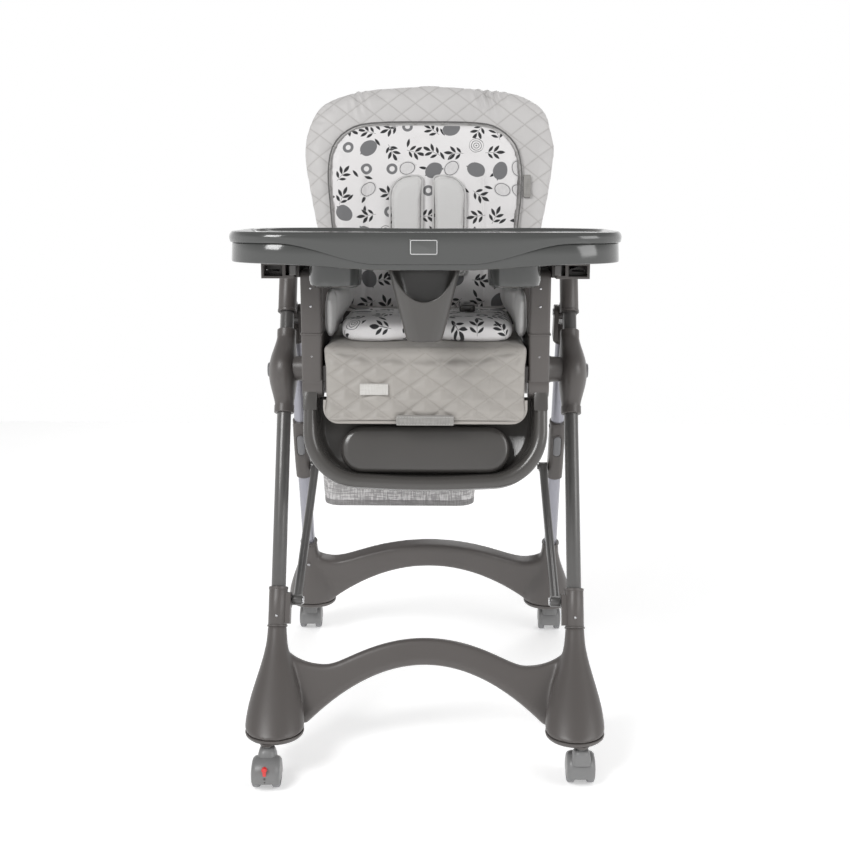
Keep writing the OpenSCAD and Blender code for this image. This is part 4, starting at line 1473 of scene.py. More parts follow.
@dataclass
class Tray:
    """The tray: a skirted base with rails, and a lift-out top with a recess and cup wells."""

    half: float = 289.5
    depth: float = 330.0
    corner: float = 95.0
    well_half: float = 88.0
    cup_x: float = 133.0
    cup_y: float = -85.0
    count: int = 224
    post_y: float = -118.0
    post_low: float = -158.2
    post_h: float = 102.0
    scoop: float = 46.0
    scoop_half: float = 47.0

    def distance(self, x: float, y: float) -> float:
        """How far a point lies outside the tray's outline."""
        dx = abs(x) - self.half + self.corner
        dy = abs(y) - self.depth / 2 + self.corner
        box = hypot(max(dx, 0), max(dy, 0)) + min(max(dx, dy), 0) - self.corner
        waist = 170 - hypot(x, y - self.depth / 2 - 118)
        k = 14.0
        h = max(k - abs(box - waist), 0) / k
        return max(box, waist) + h * h * k / 4

    def edge(self, offset: float) -> list[Flat]:
        """The outline moved outwards by an offset, as points at even angles."""
        out = []
        for i in range(self.count):
            t = 2 * pi * i / self.count
            c, s = cos(t), sin(t)
            low, high = 20.0, 420.0
            for _ in range(22):
                mid = (low + high) / 2
                if self.distance(mid * c, -40 + mid * s) < offset:
                    low = mid
                else:
                    high = mid
            out.append((low * c, -40 + low * s))
        return out

    def hem(self, x: float, y: float) -> float:
        """Where the top's apron ends: shallow at the ends and deep at the middle of the front."""
        front = smooth_step(-70, -150, y)
        return -15.5 - 29.5 * front * smooth_step(212, 66, abs(x))

    def skirt_low(self, x: float, y: float) -> float:
        """Where the base's skirt ends."""
        return -45 - 9 * smooth_step(-70, -150, y) * smooth_step(236, 40, abs(x))

    def wells(self, grow: float) -> list[list[Flat]]:
        """The outlines of the recess and the two cup wells, grown by a margin."""
        out = [rounded(2 * (self.well_half + grow), 184 + 2 * grow, 30 + grow, 0, -25, 8)]
        for s in (-1, 1):
            out.append(arc(s * self.cup_x, self.cup_y, 35 + grow, 0, 352.5, 47))
        return out

    def skin(self, rows: list, deck: float, levels: Sequence[Sequence[Flat]], thick: float) -> Mesh:
        """A moulded sheet: rings inwards over the rim, a deck, and wells.

        Args:
            rows: Offsets and heights of the rings, each height a number or a rule of place.
            deck: The height of the flat deck.
            levels: For the recess and for the cups, pairs of margin and height going down.
            thick: The sheet's thickness.

        Returns:
            The mesh.
        """
        form = Form()
        rings = []
        for offset, z in rows:
            ring = self.edge(offset)
            rings.append([Vector((x, y, z(x, y) if callable(z) else z)) for x, y in ring])
        form.loft(rings, caps=(False, False))
        tops = self.wells(levels[0][0][0])
        form.fill([rings[-1]] + [[Vector((x, y, deck)) for x, y in top] for top in tops])
        for k in range(3):
            steps = levels[0 if k == 0 else 1]
            form.loft([[(x, y, z) for x, y in self.wells(grow)[k]] for grow, z in steps], caps=(False, True))
        bmesh.ops.remove_doubles(form.bm, verts=form.bm.verts, dist=0.004)
        bmesh.ops.recalc_face_normals(form.bm, faces=form.bm.faces)
        form.bm.faces.ensure_lookup_table()
        decks = [f for f in form.bm.faces if abs(f.calc_center_median().z - deck) < 0.01]
        if sum(f.normal.z * f.calc_area() for f in decks) < 0:
            bmesh.ops.reverse_faces(form.bm, faces=form.bm.faces)
        mesh = form.mesh(IDENTITY, closed=False)
        obj = stand_in("sheet", mesh)
        wall = obj.modifiers.new("wall", "SOLIDIFY")
        wall.thickness, wall.offset, wall.use_rim = thick, -1, True
        settle(obj)
        mesh = obj.data.copy()
        bpy.data.objects.remove(obj)
        mesh.transform(STANCE.tray)
        mesh.shade_smooth()
        mesh.set_sharp_from_angle(angle=radians(42))
        return mesh

    def build(self) -> None:
        """Builds the top, the base, the rails, the post and the plain plate."""
        apron = [(0.2, lambda x, y: self.hem(x, y) - 0.6), (1.2, self.hem)]
        for t, out in ((0.25, 2.0), (0.5, 2.4), (0.72, 2.0), (0.88, 1.0)):
            apron.append((out, lambda x, y, t=t: self.hem(x, y) * (1 - t) - 2.2 * t))
        top = apron + [(-0.4, -1.6), (-1.8, -0.3), (-3.6, 0.0), (-5.6, -0.5), (-7.4, -2.4), (-9.4, -5.0), (-12, -6.0)]
        dips = [[(5, -6.0), (3.4, -6.3), (1.6, -7.4), (0.6, -9.6), (0, -14), (-1.5, -33), (-3, -36), (-6, -37.4),
                 (-10, -37.8)],
                [(3.5, -6.0), (2, -6.4), (0.8, -7.6), (0.2, -10), (0, -16), (-1.2, -66), (-2.4, -71), (-5, -74),
                 (-9, -75)]]
        ready("tray_top", self.skin(top, -6.0, dips, 2.4), TRAY, "tray_insert", ["tray_insert"])
        skirt = [(-3.4, lambda x, y: self.skirt_low(x, y) + 1.2), (-2.4, self.skirt_low),
                 (-1.0, lambda x, y: self.skirt_low(x, y) + 0.8),
                 (-0.6, lambda x, y: self.skirt_low(x, y) + 4), (-1.2, lambda x, y: self.skirt_low(x, y) * 0.5 - 9),
                 (-1.9, -17), (-3.2, -15.6), (-6, -15.4), (-12, -17.2)]
        holes = [[(8, -17.2), (6.6, -18), (5.4, -20), (4.6, -50), (3, -53.4), (0, -54)],
                 [(6.4, -17.2), (5, -18.4), (4.4, -22), (4.2, -72), (2.4, -79), (-3, -82.4), (-9, -83)]]
        ready("tray_skirt", self.skin(skirt, -17.2, holes, 2.2), TRAY, "tray", ["tray_base"])
        self.rails()
        self.post()
        self.plate()

    def rails(self) -> None:
        """Adds the rails with their dark slots, and the clips."""
        place = STANCE.tray
        flip = Matrix(((1, 0, 0, 0), (0, 0, -1, 0), (0, 1, 0, 0), (0, 0, 0, 1)))
        for side in Side:
            s = side.value
            form = Form()
            outline = [(193.6, -71.8), (246, -71.8), (248, -69.8), (248, -62), (224, -62), (224, -60), (248, -60),
                       (248, -46.4),
                       (193.6, -46.4)]
            outline = [(s * x, z) for x, z in outline]
            form.slab([outline], 120, 0.6, Matrix.Translation((0, 30, 0)) @ flip)
            frame_out = [(s * x, z) for x, z in ((198, -71.8), (248, -71.8), (248, -46.4), (198, -46.4))]
            slot = [(s * x, z) for x, z in ((216, -68), (244, -68), (244, -52), (216, -52))]
            hook = [(s * x, z) for x, z in ((200, -67), (211, -67), (211, -51), (200, -51))]
            form.slab([frame_out, slot, hook], 30, 0.6, Matrix.Translation((0, -45, 0)) @ flip)
            ready(f"tray_rail_bar_{side.word}", form.mesh(place), BASE, "tray", [f"tray_rail_{side.word}"])
            clip = Form().slab([[(s * x, z) for x, z in arc(199, -59, 8.2, 90, 270, 1) + [(205, -67.2),
                                                                                          (205, -50.8)]]],
                               28, 1.0, Matrix.Translation((0, -48, 0)) @ flip)
            clip.loft([[(s * x, y, z) for x, z in rounded(w, h, 1.5, 199.6, -59)]
                       for w, h, y in ((9, 14, -61.9), (9.6, 14.6, -62.6), (8.6, 13.6, -63.2))])
            ready(f"tray_clip_{side.word}", clip.mesh(place), CHEEK, f"tray_latch_{side.word}",
                  [f"tray_latch_{side.word}"],
                  slot="base_plastic")

    def post(self) -> None:
        """Adds the crotch post: a tapered cup, open and scooped at the front."""
        count = 72
        centre_y = self.post_y

        def ring(t: float, inset: float) -> list[Vector]:
            """The post's outline at a share of its height."""
            w = 52 + (104 - 52) * t ** 0.92 - 2 * inset
            d = 42 + (58 - 42) * t - 2 * inset
            pts = spread(rounded(w, d, min(w, d) / 2 - 1.5, 0, centre_y + 6 - 6 * t, 8), count)
            return [Vector((x, y, 0)) for x, y in pts]

        def rim(p: Vector) -> float:
            """How high the wall stands at a point of its outline."""
            front = smooth_step(centre_y + 4, centre_y - 20, p.y)
            bowl = max(0.0, 1 - (p.x / self.scoop_half) ** 2)
            return self.post_h - self.scoop * front * bowl ** 0.5

        form, rings = Form(), []
        levels = 26
        for k in range(levels + 1):
            row = []
            for i in range(count):
                # the wall's height follows the rim, so the outline is found again at that height
                h = rim(ring(1, 0)[i]) * k / levels
                p = ring(h / self.post_h, 0)[i]
                row.append((p.x, p.y, self.post_low + h))
            rings.append(row)
        for inset, drop in ((0.5, 0.9), (1.6, 1.3), (2.7, 0.8), (3.2, -0.4), (3.3, -6), (3.4, -14), (3.5, -22)):
            row = []
            for i in range(count):
                top = rim(ring(1, 0)[i])
                h = max(top + drop, 40)
                p = ring(min(1, h / self.post_h), inset)[i]
                row.append((p.x, p.y, self.post_low + h))
            rings.append(row)
        rings.append([(p.x * 0.9, centre_y + (p.y - centre_y) * 0.9, self.post_low + 36) for p in ring(0.35, 3.5)])
        foot = [(x * 0.93, centre_y + 6 + (y - centre_y - 6) * 0.93, z - 1.6) for x, y, z in rings[0]]
        form.loft([foot] + rings)
        ready("crotch_post_cup", form.mesh(STANCE.tray, smooth=60), DARK, "tray", ["crotch_post"])

    def plate(self) -> None:
        """Adds the plain plate with a pale border on the front of the tray."""
        face = -self.depth / 2 - 2.6
        form = Form()
        form.loft([[(x, y, z) for x, z in rounded(w, h, 2.2, 0, -21)]
                   for w, h, y in ((41, 23, face + 2), (41, 23, face - 0.5), (40, 22, face - 0.9))])
        form.move(lambda p: (p.x, p.y + 0.00002 * p.x * p.x, p.z))
        ready("front_plate", form.mesh(STANCE.tray), PLATE, "tray_insert", ["badge"])
        path = [(x, face - 1.0, z) for x, z in rounded(37.4, 19.4, 1.8, 0, -21)]
        border = Form().sweep(path, arc(0, 0, 0.55, 0, 315, 7), closed=True)
        ready("front_plate_border", border.mesh(STANCE.tray), PALE, "tray_insert", slot="badge_plate")


AXLE = (0, 12, 23)


@dataclass
class Caster:
    """A twin-wheel caster, trailing forwards or backwards."""

    corner: str
    side: Side
    stem_y: float
    trail: int

    def place(self) -> Matrix:
        """The caster's frame: at its stem on the floor, trailing along +Y."""
        turn = Matrix.Rotation(0 if self.trail > 0 else pi, 4, "Z")
        spot = Vector((self.side.value * STANCE.front_half, self.stem_y, 0)) * MM
        return Matrix.Translation(spot) @ turn @ Matrix.Scale(MM, 4)

    def hood(self) -> Form:
        """The bulging hood with its stem."""
        form = Form()
        profile = [(-22.6, 8), (-22.5, 18), (-21.6, 22.5), (-19, 25.2), (-14, 26.6), (-6, 27.2), (0, 27.4),
                   (6, 27.2), (14, 26.6), (19, 25.2), (21.6, 22.5), (22.5, 18), (22.6, 8)]
        form.lathe(profile, AXLE, "X", 64)
        bmesh.ops.remove_doubles(form.bm, verts=form.bm.verts, dist=0.004)
        cut = bmesh.ops.bisect_plane(form.bm, geom=form.bm.verts[:] + form.bm.edges[:] + form.bm.faces[:],
                                     plane_co=(0, 12, 15.5), plane_no=(0, 0, -1), clear_outer=True)
        bmesh.ops.holes_fill(form.bm, edges=[e for e in cut["geom_cut"] if isinstance(e, bmesh.types.BMEdge)])
        form.stack([(rounded(w, d, 9, 0, y), z) for w, d, y, z in
                    ((31, 34, 3, 38), (29, 31, 2, 48), (26, 27, 1, 55), (23, 23, 0, 59), (19, 19, 0, 60.6),
                     (12, 12, 0, 61))])
        form.lathe([(58, 4), (66.5, 4), (80.5, 4)], steps=24)
        form.lathe([(60.5, 6.8), (63, 7.2), (65, 6.6)], steps=32)
        form.lathe([(-9, 7), (9, 7)], AXLE, "X", 24)
        return form

    def wheels(self) -> Form:
        """The two wheels."""
        form = Form()
        for m in (-1, 1):
            rows = [(9.6, 3.2), (9.6, 8), (10.6, 9), (10.8, 16), (9.8, 17.4), (10, 21.4), (11.2, 22.8), (13, 23),
                    (18.4, 23),
                    (20.4, 22.4), (21.5, 20.8), (21.4, 17.6), (20.2, 16.4), (20.4, 8), (21.2, 6.6), (21.2, 3.2)]
            form.lathe([(m * x, r) for x, r in rows + rows[:1]], AXLE, "X", 48)
        return form

    def lever(self) -> Form:
        """The red brake lever with its round knob."""
        form = Form()
        form.lathe([(-3.4, 0.1), (-3.4, 2.6), (3.4, 2.6), (3.4, 0.1)], (0, 31, 31), "X", 24)
        form.loft([[(-w, y0, z0), (w, y0, z0), (w, y1, z1), (-w, y1, z1)]
                   for w, y0, z0, y1, z1 in ((2.3, 33, 28, 38, 27.4), (2.5, 34, 33, 40, 34),
                                             (2.7, 34, 37, 40.6, 38.4))])
        form.lathe([(33.6, 0.1), (34, 3.2), (35.6, 4.4), (39.4, 4.5), (41.2, 3.4), (41.6, 0.1)], (0, 0, 40.6), "Y",
                   32)
        return form

    def build(self) -> None:
        """Builds the hood, the wheels and, in front, the brake lever."""
        where = self.place()
        ready(f"caster_cover_{self.corner}", self.hood().mesh(where, smooth=45), CASTER, f"caster_{self.corner}",
              [f"caster_hood_{self.corner}"])
        ready(f"caster_tyres_{self.corner}", self.wheels().mesh(where), WHEEL, f"wheels_{self.corner}",
              [f"caster_wheels_{self.corner}"])
        if self.corner.startswith("front"):
            # two dark discs stand for the hood's holes: painted shade in place of the dark inside of real holes
            holes = Form()
            for z, r in ((25.5, 1.5), (19.6, 1.1)):
                holes.lathe([(39.0, 0.1), (39.2, r), (40.2 if z > 20 else 39.6, r), (40.3 if z > 20 else 39.7, 0.1)],
                            (0, 0, z), "Y", 20)
            ready(f"caster_holes_{self.corner}", holes.mesh(where), DARK, f"caster_{self.corner}",
                  slot="dark_plastic")
            ready(f"brake_pedal_{self.corner}", self.lever().mesh(where), RED, f"brake_lever_{self.side.word}",
                  [f"brake_lever_{self.side.word}"])
# ---- soft goods

UPRIGHT = Matrix(((1, 0, 0, 0), (0, 0, -1, 0), (0, 1, 0, 0), (0, 0, 0, 1)))
HEMMING = Leatherette("flap_hemming", linear(160, 156, 151), 0.45)
PIPING = Leatherette("pad_piping", linear(188, 187, 186), 0.5)
EDGING = Weave("insert_edging", linear(92, 91, 90), 0.8, linear(120, 119, 118), 900, 0.4)
BINDING = Weave("basket_binding", linear(118, 116, 116), 0.8, linear(150, 149, 148), 700, 0.6)
THREAD = Weave("thread", linear(206, 204, 202), 0.7, linear(222, 221, 220), 3000, 0.3)


@dataclass(frozen=True)
class Stitches:
    """Rows of sewn stitches, set along paths by geometry nodes, in metres."""

    pitch: float = 0.0042
    length: float = 0.0029
    thick: float = 0.00055

    def tree(self) -> NodeTree:
        """Builds the tree: a short bead of thread is set at even steps along each path."""
        plan = Plan("stitches", ("Pitch", "Length", "Thickness"))
        add, given = plan.add, plan.given
        path = add("GeometryNodeMeshToCurve", Mesh=given["Geometry"])
        even = add("GeometryNodeResampleCurve", Curve=path.outputs[0])
        even.mode = "LENGTH"
        plan.tree.links.new(given["Pitch"], even.inputs["Length"])
        bead = add("GeometryNodeMeshUVSphere", Segments=6, Rings=4, Radius=0.5)
        size = add("ShaderNodeCombineXYZ", X=given["Thickness"], Y=given["Thickness"], Z=given["Length"])
        shaped = add("GeometryNodeTransform", Geometry=bead.outputs["Mesh"], Scale=size.outputs[0])
        turn = add("FunctionNodeAlignRotationToVector", Vector=add("GeometryNodeInputTangent").outputs[0])
        return plan.close(even.outputs[0], shaped.outputs[0], turn.outputs[0])

    def sew(self, name: str, rows: Sequence[Sequence[Vector]], body: str) -> Object:
        """Sews rows of stitches on one body.

        Args:
            name: The piece's name.
            rows: The paths that the rows follow, in metres.
            body: The body they move with.

        Returns:
            The stitches as one piece.
        """
        points, edges = [], []
        for row in rows:
            edges += [(len(points) + i, len(points) + i + 1) for i in range(len(row) - 1)]
            points += [tuple(p) for p in row]
        mesh = bpy.data.meshes.new(name)
        mesh.from_pydata(points, edges, [])
        given = {"Pitch": self.pitch, "Length": self.length, "Thickness": self.thick, "Finish": THREAD.material()}
        obj = grown(name, mesh, bpy.data.node_groups.get("stitches") or self.tree(), given)
        cloth_grain(obj, STANCE.world)
        return adopt(obj, THREAD, body, slot="cover_light")


@dataclass
class Pad:
    """A filled pad in its frame's millimetres: a plate of stuffing that swells and keeps its outline."""

    name: str
    place: Matrix
    outline: list[Flat]
    at: float
    thick: float
    upright: bool = True
    bevel: float = 5.0
    voxel: float = 0.0045
    cap: float = 0.005
    levels: int = 1

    def swell(self) -> Object:
        """Makes the pad's skin and fills it."""
        turn = UPRIGHT if self.upright else IDENTITY
        lift = Matrix.Translation((0, self.at, 0) if self.upright else (0, 0, self.at))
        form = Form().slab([self.outline], self.thick, self.bevel, lift @ turn)
        obj = stand_in(self.name, form.mesh(self.place))
        remesh(obj, self.voxel, 3)
        inflate(obj, self.cap)
        refine(obj, self.levels)
        return obj

    def shape(self, obj: Object, rule: Callable[[np.ndarray], np.ndarray]) -> None:
        """Moves the skin's points by a rule and lays its map.

        Args:
            obj: The pad's skin.
            rule: Takes the points in the frame's millimetres and returns their new places.
        """
        co = rule(local_points(obj, self.place))
        set_local(obj, self.place, co)
        x, y, z = co.T
        fall = np.maximum(0, self.at + self.thick / 2 - 3 - z)
        rolled = np.stack([x + np.sign(x) * fall * ramp(122, 134, np.abs(x)), y - fall * ramp(-165, -178, y)], 1)
        lay_map(obj, co[:, [0, 2]] if self.upright else rolled)
        obj.data.shade_smooth()


def ramp(low: float, high: float, value: np.ndarray) -> np.ndarray:
    """smooth_step for many numbers at once."""
    t = np.clip((value - low) / (high - low), 0, 1)
    return t * t * (3 - 2 * t)


@dataclass
class Backrest:
    """The quilted back cover, the printed insert and the shoulder pads, up the backrest."""

    quilting: Quilting = Quilting(48, 38, 2.0, 0.36)

    def cover(self) -> None:
        """Builds the light quilted cover with its gathered corners."""
        outline = flowing([(-150, 28), (0, 27), (152, 28), (170, 40), (190, 110), (203, 173), (218, 250), (226, 318),
                           (221, 352), (205, 397), (154, 426), (72, 437), (0, 441), (-72, 437), (-128, 430), (-188, 408),
                           (-214, 372), (-225, 318), (-216, 250), (-201, 173), (-189, 110), (-168, 40)], 6)
        pad = Pad("back_cover", STANCE.backrest, outline, -6.5, 22, bevel=9, voxel=0.0055, cap=0.006)
        obj = pad.swell()

        def rule(co: np.ndarray) -> np.ndarray:
            """Quilts the front and gathers the upper corners."""
            x, y, z = co.T
            front = ramp(-2, -12, y)
            y = np.minimum(y, 6.6)
            y = y + front * self.quilting.height(x, z)
            for middle, spread, strength in ((106, 26, 5.0), (-124, 15, 3.4)):
                fold = np.exp(-((x - middle) / spread) ** 2) * ramp(362, 425, z)
                y = y + front * fold * strength * np.sin((x - middle + 0.35 * (z - 430)) * 2 * pi / 15)
            return np.stack([x, y, z], 1)

        pad.shape(obj, rule)
        adopt(obj, BACK, "backrest", ["back_cushion"])

    def insert(self) -> None:
        """Builds the printed insert with its dark edge and its seams."""
        outline = flowing([(-110, 33), (0, 31), (112, 33), (138, 44), (147, 110), (154, 174), (161, 240), (161, 285),
                           (150, 324), (122, 351), (85, 361), (0, 363), (-100, 361), (-142, 348), (-168, 318),
                           (-175, 272), (-171, 220), (-166, 172), (-156, 110), (-140, 44)], 6)
        pad = Pad("back_insert", STANCE.backrest, outline, -30, 8, bevel=3.6, cap=0.0045)
        obj = pad.swell()

        def rule(co: np.ndarray) -> np.ndarray:
            """Presses the two seams in."""
            x, y, z = co.T
            y = np.minimum(y, -24.2)
            front = ramp(-27, -32, y)
            for seam in (-108, 96):
                y = y + front * 3.4 * np.exp(-((x - seam) / 3.2) ** 2) * ramp(285, 255, z)
            y = y + front * 1.2 * np.sin(x / 23 + z / 41) * np.sin(z / 31)
            return np.stack([x, y, z], 1)

        pad.shape(obj, rule)
        adopt(obj, PRINT, "backrest", ["insert_back"])
        path = [(x * 1.004, -28.5, 197 + (z - 197) * 1.004) for x, z in outline[::2]]
        edge = Form().sweep(path, arc(0, 0, 1.4, 0, 315, 7), closed=True)
        sewn("back_insert_edge", edge, STANCE.backrest, EDGING, "backrest", "insert_print")

    def pads(self) -> None:
        """Builds the shoulder pads with piped edges."""
        for side, low, high, corner in ((Side.LEFT, -68, -9, -1), (Side.RIGHT, 7, 66, 1)):
            x0, x1 = low + 1.5, high - 1.5
            top = 264.0
            if corner < 0:
                caps = arc(x1 - 8, top - 8, 8, 0, 90, 5) + arc(x0 + 36, top - 36, 36, 90, 180, 9)
            else:
                caps = arc(x1 - 36, top - 36, 36, 0, 90, 9) + arc(x0 + 8, top - 8, 8, 90, 180, 5)
            outline = caps + arc(x0 + 8, 98, 8, 180, 270, 5) + arc(x1 - 8, 98, 8, 270, 360, 5)
            pad = Pad(f"shoulder_pad_{side.word}", STANCE.backrest, outline, -43, 7, bevel=3.2, voxel=0.003,
                      cap=0.003)
            obj = pad.swell()
            pad.shape(obj, lambda co: np.stack([co[:, 0], np.minimum(co[:, 1], -38.4), co[:, 2]], 1))
            adopt(obj, PAD, "backrest", ["shoulder_pads"])
            pipe = Form().sweep([(x, -43.5, z) for x, z in outline], arc(0, 0, 1.9, 0, 315, 7), closed=True)
            sewn(f"shoulder_piping_{side.word}", pipe, STANCE.backrest, PIPING, "backrest", "pad_fabric")
            middle = (x0 + x1) / 2
            row = [STANCE.backrest @ Vector((middle + (x - middle) * 0.8, -47.6, 185 + (z - 185) * 0.94)) for x,
                   z in outline]
            Stitches().sew(f"shoulder_stitches_{side.word}", [row + row[:1]], "backrest")

    def tab(self) -> None:
        """Builds the folded fabric tab at the cover's edge."""
        form = Form()
        form.loft([[(x, y, z) for x, z in rounded(w, h, 2.5, 172, 250)]
                   for w, h, y in ((12, 40, -22), (12.6, 40.6, -26), (12.6, 40.6, -28), (11.6, 39.6, -28.8))])
        sewn("cover_side_tab", form, STANCE.backrest, WEBBING, "backrest", "cover_light")

    def build(self) -> None:
        """Builds the backrest's soft pieces."""
        self.cover()
        self.insert()
        self.pads()
        self.tab()


@dataclass
class SeatSoft:
    """The seat cover with its hanging flap, the printed seat insert, the wings and the buckle."""

    half: float = 158.0
    quilting: Quilting = Quilting(50, 34, 6.0, 0.55)

    def cover(self) -> None:
        """Builds the quilted cover: the seat's mattress and the flap over the footrest."""
        side = [(28, 652), (28, 676), (21, 681.5), (-190, 681.5)] + arc(-199, 671, 11, 90, 175, 5)
        side += [(-211, 640), (-212, 612), (-225.5, 569), (-224, 565), (-218, 563.5), (-214.4, 566), (-203.5, 603),
                 (-203, 640), (-200, 652)]
        place = Matrix(((0, 0, 1, 0), (1, 0, 0, 0), (0, 1, 0, 0), (0, 0, 0, 1)))
        form = Form().slab([side], 2 * self.half + 1, 4, place)
        obj = stand_in("seat_cover", form.mesh(STANCE.world))
        remesh(obj, 0.005, 2)
        inflate(obj, 0.003)
        refine(obj)
        co = local_points(obj, STANCE.world)
        x, y, z = co.T
        low = ramp(600, 563, z)
        inner = self.half - 22 * (1 - np.sqrt(np.clip(1 - ramp(585, 561, z) ** 2, 0, 1)))
        x = x * np.minimum(1, inner / self.half)
        down = np.where(z > 676, y + 208, 676 - z - 4)
        face = ramp(-206, -211, y) * ramp(560, 572, z)
        depth = self.quilting.height(x, z - 600) * face * ramp(568, 576, z)
        y = y + depth - face * 2.4 - low * 0.5
        co = np.stack([x, y, z], 1)
        set_local(obj, STANCE.world, co)
        lay_map(obj, np.stack([x, np.where(down > 0, -down, z - 600)], 1))
        obj.data.shade_smooth()
        adopt(obj, FLAP, "", ["seat_cushion", "leg_pad"])
        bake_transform(obj)

    def hem(self) -> None:
        """Builds the flap's binding, its webbing tab, its blank label and its stitches."""
        path = [(x, -222 + (z - 566) * 0.31, z) for x, z in
                [(-156, 598)] + arc(-134, 587, 22, 184, 270, 9) + arc(134, 587, 22, 270, 356, 9) + [(156, 598)]]
        band = Form().sweep(path, arc(0, 0, 2.6, 0, 330, 11))
        sewn("flap_binding", band, STANCE.world, HEMMING, "footrest", "cover_quilt")
        tab = Form()
        tab.loft([[(x, y - 0.31 * (z - 566), z) for x, z in rounded(w, h, 2, 0, 570)]
                  for w, h, y in ((88, 16, -226), (89, 17, -230), (88, 16, -231.2))])
        sewn("flap_webbing_tab", tab, STANCE.world, WEBBING, "footrest", "cover_quilt")
        tag = Form()
        tag.loft([[(x, y + 0.08 * (z - 614), z) for x, z in rounded(w, h, 1, -79, 616)]
                  for w, h, y in ((44, 17, -213), (44, 17, -219.2), (43, 16, -219.8))])
        sewn("flap_label", tag, STANCE.world, LABEL, "seat", "cover_quilt")
        rows = [[Vector((x, -232.0 - 0.31 * (z - 566), z)) * MM for x in np.linspace(-42, 42, 12)]
                for z in (564, 576)]
        Stitches().sew("flap_stitches", rows, "footrest")

    def insert(self) -> None:
        """Builds the printed seat insert: two puffed lobes with a dip between them."""
        outline = flowing([(-118, -188), (-60, -192), (0, -176), (62, -192), (122, -188), (141, -166), (145, -90),
                           (143, -20), (128, 8), (0, 10), (-126, 8), (-140, -20), (-142, -90), (-137, -166)], 7)
        pad = Pad("seat_insert", STANCE.world, outline, 698, 22, upright=False, bevel=9, voxel=0.005, cap=0.006)
        obj = pad.swell()

        def rule(co: np.ndarray) -> np.ndarray:
            """Dips the middle and puffs the two lobes."""
            x, y, z = co.T
            top = ramp(692, 706, z)
            dip = np.exp(-(x / 20) ** 2) * ramp(-60, -150, y)
            lobe = np.exp(-((np.abs(x) - 74) / 46) ** 2) * np.exp(-((y + 140) / 62) ** 2)
            z = z - 13 * dip * top + 7 * lobe * top
            z = z + top * 1.2 * np.sin(x / 14 + y / 40) * np.sin(y / 19)
            return np.stack([x, y, np.maximum(z, 685)], 1)

        pad.shape(obj, rule)
        adopt(obj, PRINT, "seat", ["insert_seat"])

    def wings(self) -> None:
        """Builds the soft panels inside the armrests."""
        for side in Side:
            s = side.value
            low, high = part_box("side_wings")
            y0, y1, z0, z1 = (v / MM for v in (low[1], high[1], low[2], high[2]))
            turn = Matrix(((0, 0, 1, s * 150), (1, 0, 0, 0), (0, 1, 0, 0), (0, 0, 0, 1)))
            outline = rounded(y1 - y0 - 4, z1 - z0 - 4, 26, (y0 + y1) / 2, (z0 + z1) / 2)
            form = Form().slab([outline], 10, 4.4, turn)
            obj = stand_in(f"side_wing_{side.word}", form.mesh(STANCE.world))
            remesh(obj, 0.0045, 3)
            inflate(obj, 0.004)
            refine(obj)
            co = local_points(obj, STANCE.world)
            x, y, z = co.T
            inside = ramp(151, 146, np.abs(x))
            x = x + s * inside * (3.0 * np.exp(-((y + 92) / 6) ** 2) + 2.4 * np.exp(-((y + 150) / 5) ** 2))
            x = x - s * 19 * ramp(-176, -70, y) * ramp(700, 738, z)
            x = np.clip(x, -159.6, 159.6)
            set_local(obj, STANCE.world, np.stack([x, y, z], 1))
            lay_map(obj, np.stack([y, z], 1))
            obj.data.shade_smooth()
            adopt(obj, PAD, "seat", ["side_wings"])

    def buckle(self) -> None:
        """Builds the harness buckle and the strap that it closes."""
        form = Form()
        form.stack([(rounded(w, d, 5, 66, -78), z) for w, d, z in
                    ((23, 33, 719.5), (25.4, 36, 721), (26, 37, 725), (25, 36, 729.4), (22, 32, 731.2),
                     (16, 26, 731.8))])
        for x in (58.5, 73.5):
            form.stack([(rounded(w, d, 2, x, -98), z) for w, d,
                        z in ((4.4, 12, 721.4), (5, 13, 723), (4.6, 12.4, 727), (3, 10, 728))])
        form.stack([(rounded(w, d, 4, 66, -76), z) for w, d,
                    z in ((12, 14, 731), (12.4, 14.4, 732.4), (11, 13, 733), (6, 8, 732.7))])
        ready("harness_buckle", form.mesh(STANCE.world), DARK, "seat", ["buckle"], slot="dark_plastic")
        path = [(66, y, z) for y, z in ((-60, 723), (-40, 722.4), (-20, 721.6), (0, 720.8), (10, 716))]
        strap = Form().sweep(path, [(10, -0.8), (10, 0.8), (-10, 0.8), (-10, -0.8)])
        sewn("harness_strap", strap, STANCE.world, WEBBING, "seat", "insert_print")

    def build(self) -> None:
        """Builds the seat's soft pieces."""
        self.cover()
        self.hem()
        self.insert()
        self.wings()
        self.buckle()


